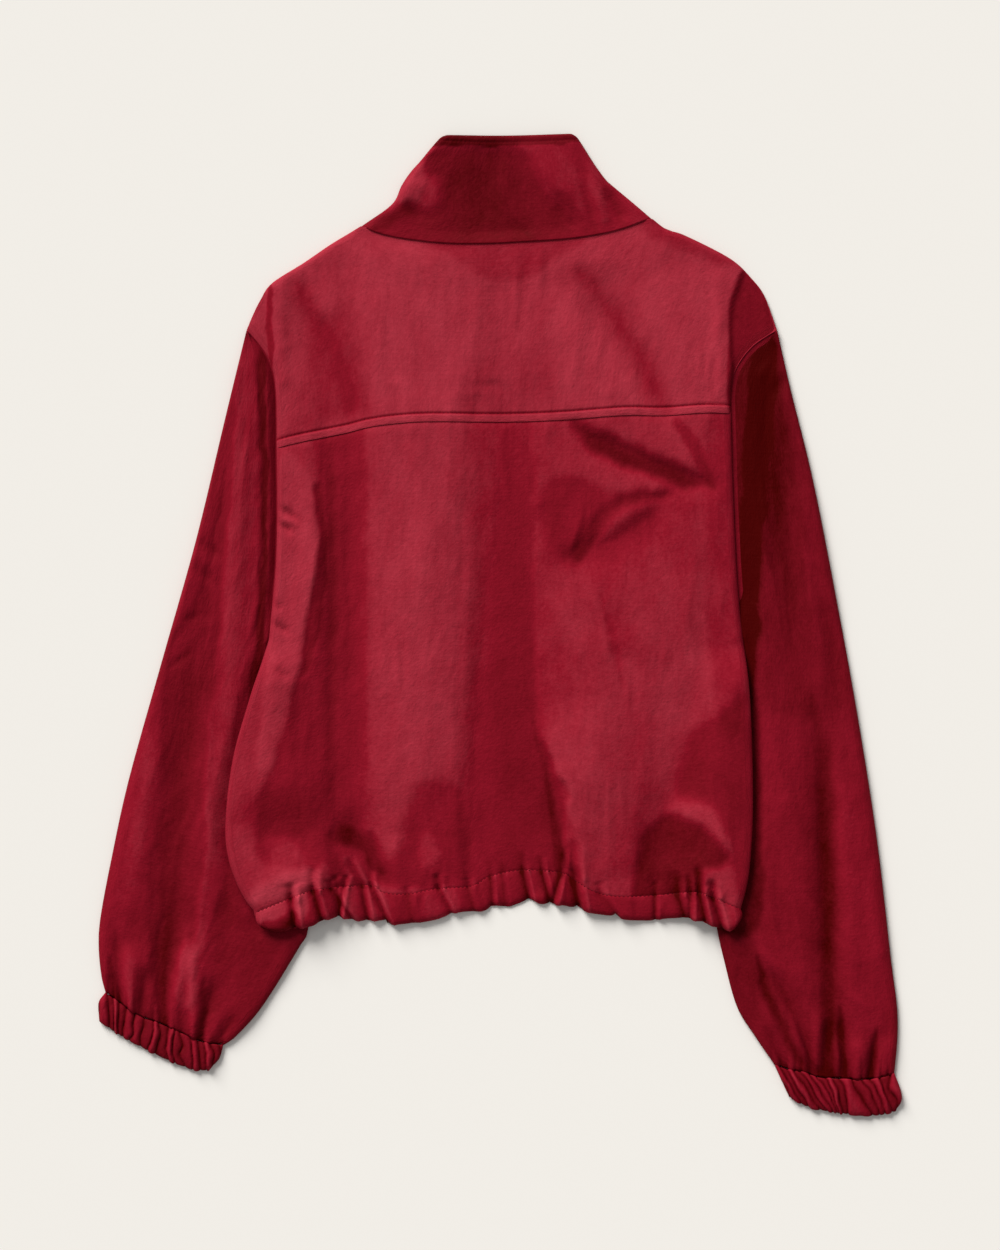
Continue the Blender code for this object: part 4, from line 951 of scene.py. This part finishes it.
def front(node, side):
    """One front, plain, flat on the floor, from its folded side to the zip."""
    is_left = side < 0
    armhole, seam, shoulder = ((ARMHOLE_LEFT, SIDE_LEFT, SHOULDER_LEFT) if is_left
                               else (ARMHOLE_RIGHT, SIDE_RIGHT, SHOULDER_RIGHT))
    zip_x = CENTRE_X + side * ZIP_GAP
    neck = rounded(NECK_FRONT)
    zip_top = [[zip_x, y_on(NECK_FRONT, zip_x)]]
    if is_left:
        top = np.vstack([rounded(shoulder)[:-1], neck[neck[:, 0] < zip_x], zip_top])
    else:
        top = np.vstack([zip_top, neck[neck[:, 0] > zip_x][:-1], rounded(shoulder)])
    hem = rounded(HEM_SEAM)
    inside = hem[(hem[:, 0] - zip_x) * side > 0]
    end = [[zip_x, y_on(HEM_SEAM, zip_x)]]
    bottom = np.vstack([inside, end] if is_left else [end, inside])
    outer = Edge(side_line(armhole, seam))
    centre = Edge([top[-1 if is_left else 0], bottom[-1 if is_left else 0]])
    place = patch(*((outer, centre) if is_left else (centre, outer)), Edge(top), Edge(bottom))
    share, share_down = FOLD_RADIUS / 185, FOLD_RADIUS / 450

    def surface(a, b):
        w = a if is_left else 2 - a
        inset, rise = rolled(w, share)
        inset = np.where(w > 1, 1 - rolled(2 - w, share)[0], inset)
        u = inset if is_left else 1 - inset
        x, y = place(u, b)
        level = side_level(x, y)
        floor = lift(x, y)
        shoulder_rise = np.sin(math.pi / 2 * np.clip(b / share_down, 0, 1))
        away = np.where(w > 1, 1.0, rise)
        creases = hidden_creases(x, y, FRONT_SEED) * smooth(b / 0.1) * smooth((1 - b) / 0.1)
        z = level + (floor + creases - level) * away
        near_top = (1 - shoulder_rise) * (x < NECK_LEFT_X if is_left else x > NECK_RIGHT_X)
        return x, y, z + FOLD_MIDDLE * near_top * away, np.zeros_like(x)

    steps = steps_over(34, 6)
    rows = np.concatenate([np.linspace(0, 0.02, 5)[:-1], np.linspace(0.02, 0.9994, 110)])
    piece = cloth(node + "_cloth", surface, steps, rows, (190, 500), offset=1.0)
    belongs(piece, "shell_cloth", node)


# ---- sleeves and cuffs -------------------------------------------------------------------------

# painted shade: these pieces, and the undersides of the layers on the floor, are coloured darker than the
# back
SLEEVE_PAINTED_SHADE = -0.5
UNDERSIDE_PAINTED_SHADE = -0.5
CUFF_PAINTED_SHADE = -0.57
HEM_PAINTED_SHADE = -0.40
SLEEVE_SHARE = FOLD_RADIUS / 105
CUFF_SHARE = 5.0 / 105

# x of the ridges of the gathered cuffs along their seams
RIDGES_LEFT = (-316, -309, -303, -299.5, -294, -288, -281, -272, -268.5, -262, -257, -253, -244.5, -240.5,
               -234, -230, -221, -214)
RIDGES_RIGHT = (208, 216, 222, 227, 233.5, 237.5, 246, 251, 255, 264, 269, 278.6, 286, 295, 300, 306, 314)


def sleeve(node, side, armhole, outer, inner, cuff_seam, folds, facets, ridges, seed):
    """One piece from the armhole to the cuff, folded along its outer edge and sewn along the underarm."""
    levels = np.linspace(armhole[0][1] - CAP_START, UNDERARM_Y + 1, 60)
    arm = np.stack([x_on(armhole, levels) - side * TUCK, levels], axis=1)
    line = rounded(outer)
    beside = np.stack([x_on(outer, levels), levels], axis=1)
    below = np.vstack([beside[-1:], line[line[:, 1] < UNDERARM_Y - 4]])
    inner_line = rounded(inner, 8)
    own = lengths(inner_line) / lengths(inner_line)[-1]
    inside = np.vstack([arm, inner_line[1:]])
    outside = np.vstack([beside, Edge(below)(own[1:]).T])
    shares = lengths((inside + outside) / 2)
    shares /= shares[-1]
    edges = [Edge(inside, shares), Edge(outside, shares)]
    if side < 0:
        edges.reverse()
    place = patch(*edges, Edge([edges[0](0.0), edges[1](0.0)]), Edge(rounded(cuff_seam) - (0, 2 * TUCK)))
    body_side, armhole_slope = ((SIDE_LEFT, ARMHOLE_SLOPE_LEFT) if side < 0
                                else (SIDE_RIGHT, ARMHOLE_SLOPE_RIGHT))

    def surface(a, b):
        u, rise, top, left = loop(a, SLEEVE_SHARE)
        x, y = place(u, b)
        inner_side = left if side > 0 else ~left
        sewn = np.where(inner_side, 1 - underarm_curl(y), 0.0)
        slope = smooth(side * (x - x_on(armhole, y)) / armhole_slope) ** 0.7
        rise = rise + (np.minimum(slope, rise) - rise) * sewn
        level = FOLD_MIDDLE - 0.6 * sewn
        beside = smooth((side * (x_on(body_side, y) - x) + 12) / 16)
        covered = beside * smooth((UNDERARM_Y - y) / 30) * smooth((y + 250) / 20)
        creased = fold_height(folds, x, y)
        raised, tone = facets_at(facets, x, y)
        relief = (creased + raised + crinkle(x, y, side * 0.2, seed)) * (1 - covered) - 2.4 * covered
        cuff_near, beside_cuff = smooth((b - 0.93) / 0.07), np.exp((b - 1) * 60)
        gathered = (1 - ribs(x, ridges)) * beside_cuff
        relief -= 2.6 * gathered + 0.6 * (b > 0.999)
        cap = smooth(b / 0.10)
        upper = np.maximum(LAYER - 1.6 * (1 - cap) + relief - 0.6 * cuff_near ** 3, LEAST_LAYER)
        z = level + (np.where(top, upper, hidden_creases(x, y, seed + SLEEVE_UNDERSIDE)) - level) * rise
        # the last value is painted light and shade: on the folds and facets, and painted shade in the gathers
        # by the cuff
        return x, y + 1.2 * (gathered - 0.5 * beside_cuff), z, np.where(
            top, SLEEVE_PAINTED_SHADE + tone + 0.10 * creased - 0.5 * gathered, UNDERSIDE_PAINTED_SHADE)

    over, under = steps_over(90), steps_over(14)
    if side < 0:
        steps = np.concatenate([-under[::-1][:-1], over])
    else:
        steps = np.concatenate([over, 4 - under[::-1][1:]])
    rows = np.append(np.linspace(0, 0.9965, 220), 1.0)
    piece = cloth(node + "_cloth", surface, steps, rows, (125, 560))
    belongs(piece, "shell_cloth", node)


def ribs(x, ridges):
    """Puffs with narrow valleys between them, of cloth gathered on elastic: height from 0 to 1 at x."""
    turn = np.interp(x, ridges, np.arange(len(ridges)))
    return (0.7 + 0.3 * np.sin(2.6 * np.rint(turn))) * np.abs(np.cos(math.pi * turn)) ** 0.5


def cuff(node, left, right, seam, edge, ridges, lean):
    """A closed elastic tube with ribs from its seam to its edge."""
    place = patch(Edge(rounded(left)), Edge(rounded(right)), Edge(rounded(seam)), Edge(rounded(edge)))

    def surface(a, b):
        u, rise, top, _ = loop(a, CUFF_SHARE)
        x, y = place(u, b)
        leaning = lean + 7 * noise(x / 16, 0 * x, RIB_LEAN_SEED)
        puff = ribs(x - leaning * b + 1.8 * noise(x / 8, 3 * b, RIB_SEED), ridges)
        along = np.sin(math.pi * np.clip(b * 0.84 + 0.12, 0, 1)) ** 0.6
        rim = np.exp(-(1 - b) / 0.06)
        upper = LAYER - 2.4 + 3.8 * puff * along - 0.9 * rim - 0.3 * np.exp(-b / 0.05)
        lower = 0.8 * (1 - puff) * along + 0.5 * rim
        z = FOLD_MIDDLE + (np.where(top, upper, lower) - FOLD_MIDDLE) * rise
        # painted light on the top of each puff and painted shade in the valleys between them
        return (x, y - 1.8 * (puff - 0.5) * b ** 2 + 1.2 * (puff - 0.5) * (1 - b) ** 6, z,
                CUFF_PAINTED_SHADE + 1.1 * (puff - 0.56) * top)

    steps = np.concatenate([steps_over(190, 10), 4 - steps_over(90, 10)[::-1][1:]])
    piece = cloth(node + "_cloth", surface, steps, np.linspace(0, 1, 22), (105, 25), closed=True)
    belongs(piece, "shell_cloth", node)


def hem_casing():
    """The gathered elastic casing, from zip to zip round the back."""
    left = Edge(rounded((HEM_SEAM[0], (-189.5, -232), HEM_EDGE[0])))
    right = Edge(rounded((HEM_SEAM[-1], (189, -226), HEM_EDGE[-1])))
    place = patch(left, right, Edge(rounded(HEM_SEAM)), Edge(rounded(HEM_EDGE)))

    def surface(a, b):
        u, rise, top, _ = loop(a, BODY_SHARE)
        x, y = place(u, b)
        floor = lift(x, y)
        relief = back_relief(x, y)
        puff = 0.9 * np.sin(math.pi * np.clip(b, 0, 1)) ** 0.6
        seam = 0.3 * np.exp(-b / 0.06)
        rim = 2.6 * np.exp(-(1 - b) / 0.07)
        upper = floor + np.maximum(LAYER + relief + puff - seam - rim, 0.6 + CLOTH)
        level = floor + FOLD_MIDDLE
        lower = floor + 0.8 * np.exp(-(1 - b) / 0.1)
        pinched = fold_height(HEM_FOLDS, x, y)
        # the last value is painted light and shade: the patches', and painted shade in the gathers' valleys
        return x, y - 0.45 * pinched * b ** 2, level + (np.where(top, upper, lower) - level) * rise, (
            HEM_PAINTED_SHADE + facets_at(HEM_PAINTED_PATCHES, x, y)[1] + 0.26 * pinched)

    width = HEM_SEAM[-1][0] - HEM_SEAM[0][0]

    def under_at(x):
        u = (x - HEM_SEAM[0][0]) / width
        return 4 - (ROLL + (u - BODY_SHARE) / (1 - 2 * BODY_SHARE) * (2 - 2 * ROLL))

    back = 4 - steps_over(70)[::-1]
    right_side = back[back < under_at(CENTRE_X + ZIP_GAP + 1)]
    left_side = back[back > under_at(CENTRE_X - ZIP_GAP - 1)] - 4
    steps = np.concatenate([left_side[:-1], steps_over(380), right_side[1:]])
    piece = cloth("hem_casing_cloth", surface, steps, np.linspace(0, 1, 26), (375, 24))
    belongs(piece, "shell_cloth", "hem_casing")
    return surface


# ---- collar ------------------------------------------------------------------------------------

# painted shade: the collar is coloured darker than the back
COLLAR_PAINTED_SHADE = -0.2
COLLAR_HEIGHT = 82
COLLAR_STITCH = 6.4     # how far its topstitch is under its top edge


def collar():
    """The stand collar from zip to zip round the neck, with rows from its top edge to the neck seam."""
    left, right = Edge(rounded(COLLAR_LEFT)), Edge(rounded(COLLAR_RIGHT))
    back = patch(left, right, Edge(rounded(COLLAR_TOP_BACK)), Edge(rounded(NECK_BACK)))
    front_half = patch(left, right, Edge(rounded(COLLAR_TOP_FRONT)), Edge(rounded(NECK_FRONT)))
    share = FOLD_RADIUS / 150

    def surface(a, b):
        u, rise, top, _ = loop(a, share)
        x, y = np.where(top, back(u, b), front_half(u, b))
        down = b * COLLAR_HEIGHT
        creased = fold_height(COLLAR_FOLDS, x, y)
        raised, tone = facets_at(COLLAR_FACETS, x, y)
        relief = creased + raised + 0.6 * crinkle(x, y, 0.1, COLLAR_SEED)
        rim = 2.0 * (1 - np.sin(math.pi / 2 * np.clip(down / 3, 0, 1)))
        stitch = 0.45 * np.exp(-((down - COLLAR_STITCH) / 0.8) ** 2)
        relief = relief * smooth((down - 4) / 8) * smooth((COLLAR_HEIGHT - down) / 12)
        upper = np.maximum(LAYER + 0.8 + relief - rim - stitch, LEAST_LAYER)
        z = FOLD_MIDDLE + (np.where(top, upper, hidden_creases(x, y, COLLAR_FRONT_SEED)) - FOLD_MIDDLE) * rise
        # the last value is painted light and shade on the top, from facets and creases, and painted shade
        # underneath
        return x, y, z, np.where(top, COLLAR_PAINTED_SHADE + tone + 0.12 * np.minimum(creased, 1), UNDERSIDE_PAINTED_SHADE)

    back_steps = 4 - steps_over(40)[::-1]
    gap = ZIP_GAP + 1
    right_side = back_steps[back_steps < 3 - gap / 110]
    left_side = back_steps[back_steps > 3 + gap / 110] - 4
    steps = np.concatenate([left_side[:-1], steps_over(96), right_side[1:]])
    rows = np.concatenate([np.linspace(0, 0.1, 12)[:-1], np.linspace(0.1, 1.0, 56)])
    piece = cloth("collar_cloth", surface, steps, rows, (160, COLLAR_HEIGHT))
    belongs(piece, "shell_cloth", "collar")
    return surface


# ---- sewing ------------------------------------------------------------------------------------

def stitches(name, points, length=2.4, gap=0.9, width=0.6, height=0.48, sink=0.12, start=0.0, finish=THREAD,
             slot="shell_cloth"):
    """A row of short lengths, such as threads, along a line of points, copied from one and joined."""
    bpy.ops.object.select_all(action="DESELECT")
    bpy.ops.mesh.primitive_uv_sphere_add(segments=6, ring_count=5, radius=0.5)
    first = bpy.context.object
    first.name = first.data.name = name
    first.data.materials.append(finish)
    bpy.ops.object.shade_smooth()
    line = np.array(points, float)
    reach = lengths(line)
    middles = np.arange(length + start, reach[-1] - length / 2, length + gap)
    row = [first] + [first.copy() for _ in middles[1:]]
    for piece in row[1:]:
        piece.data = first.data.copy()
        bpy.context.scene.collection.objects.link(piece)
    for piece, middle in zip(row, middles):
        at, ahead = (Vector([np.interp(along, reach, line[:, axis]) for axis in range(3)])
                     for along in (middle, middle + 1))
        forward = (ahead - at).normalized()
        sideways = Vector((0, 0, 1)).cross(forward).normalized()
        up = forward.cross(sideways)
        lie = Matrix([[forward[k] * length, sideways[k] * width, up[k] * height, (at - up * sink)[k]]
                      for k in range(3)] + [[0, 0, 0, 1]])
        piece.data.transform(Matrix.Scale(MM, 4) @ lie)
        piece.select_set(True)
    bpy.context.view_layer.objects.active = first
    bpy.ops.object.join()
    belongs(first, slot)


def across_surface(surface, across, down):
    """Points across a piece, all as far down it."""
    x, y, z, _ = surface(across, np.full_like(across, down))
    return np.stack([x, y, z], axis=1)


# ---- floor, light and camera -------------------------------------------------------------------

def studio():
    bpy.ops.object.select_all(action="DESELECT")
    bpy.ops.mesh.primitive_plane_add(size=12, location=(0, 0, -0.0002))
    floor = bpy.context.object
    floor.name = "floor"
    floor.data.materials.append(pale_floor())

    world = bpy.data.worlds.new("studio")
    world.use_nodes = True
    world.node_tree.nodes["Background"].inputs["Color"].default_value = (1.0, 1.0, 1.0, 1)
    world.node_tree.nodes["Background"].inputs["Strength"].default_value = 0.32
    bpy.context.scene.world = world

    lamp = bpy.data.lights.new("window", "SUN")
    lamp.energy = 4.4
    lamp.angle = math.radians(32)
    lamp.color = (1.0, 0.985, 0.96)
    window = bpy.data.objects.new("window", lamp)
    elevation, turn = math.radians(28), math.radians(30)
    window.rotation_euler = (math.pi / 2 - elevation, 0, math.pi + turn)
    bpy.context.scene.collection.objects.link(window)

    camera = bpy.data.cameras.new("camera")
    camera.sensor_fit = "VERTICAL"
    camera.sensor_height = 36
    distance, frame_height, jacket_top = 3.0, 0.975, 0.006
    camera.lens = camera.sensor_height * (distance - jacket_top) / frame_height
    eye = bpy.data.objects.new("camera", camera)
    eye.location = (0, 0, distance)
    bpy.context.scene.collection.objects.link(eye)
    bpy.context.scene.camera = eye
    bpy.context.scene.view_settings.view_transform = "Standard"


# ---- the jacket --------------------------------------------------------------------------------

front("front_left", -1)
front("front_right", 1)
back_panel()
back_yoke()
sleeve("sleeve_left", -1, ARMHOLE_LEFT, SLEEVE_LEFT_OUTER, SLEEVE_LEFT_INNER, CUFF_SEAM_LEFT,
       SLEEVE_LEFT_FOLDS, SLEEVE_LEFT_FACETS, RIDGES_LEFT, SLEEVE_LEFT_SEED)
sleeve("sleeve_right", 1, ARMHOLE_RIGHT, SLEEVE_RIGHT_OUTER, SLEEVE_RIGHT_INNER, CUFF_SEAM_RIGHT,
       SLEEVE_RIGHT_FOLDS, SLEEVE_RIGHT_FACETS, RIDGES_RIGHT, SLEEVE_RIGHT_SEED)
cuff("cuff_left", CUFF_OUTER_LEFT, CUFF_INNER_LEFT, CUFF_SEAM_LEFT, CUFF_EDGE_LEFT, RIDGES_LEFT, 1.0)
cuff("cuff_right", CUFF_INNER_RIGHT, CUFF_OUTER_RIGHT, CUFF_SEAM_RIGHT, CUFF_EDGE_RIGHT, RIDGES_RIGHT, 12.0)
hem_surface = hem_casing()
collar_surface = collar()

band_x = np.linspace(-172, 178, 200)
band_y = y_on(YOKE_SEAM, band_x) + YOKE_BAND
stitches("yoke_topstitch", np.stack([band_x, band_y, yoke_height(band_x, band_y)], axis=1))
stitches("collar_topstitch",
         across_surface(collar_surface, np.linspace(0.05, 1.95, 200), COLLAR_STITCH / COLLAR_HEIGHT))
stitches("hem_stitch", across_surface(hem_surface, np.linspace(0.12, 1.88, 260), 0.02))

# the zip's coil, under the slider: links from both tapes in turn
COIL_Z = 0.8
coil_ends = float(y_on(HEM_EDGE, CENTRE_X)) + 3, COLLAR_TOP_FRONT[2][1] - 16
for name, side, start in (("zip_coil_left", -1, 0.0), ("zip_coil_right", 1, 1.2)):
    stitches(name, [(CENTRE_X + 0.9 * side, end_y, COIL_Z) for end_y in coil_ends], length=1.1, gap=1.3,
             width=3.2, height=1.4, sink=0.0, start=start, finish=ZIP_TAPE, slot="zip_tape")

studio()
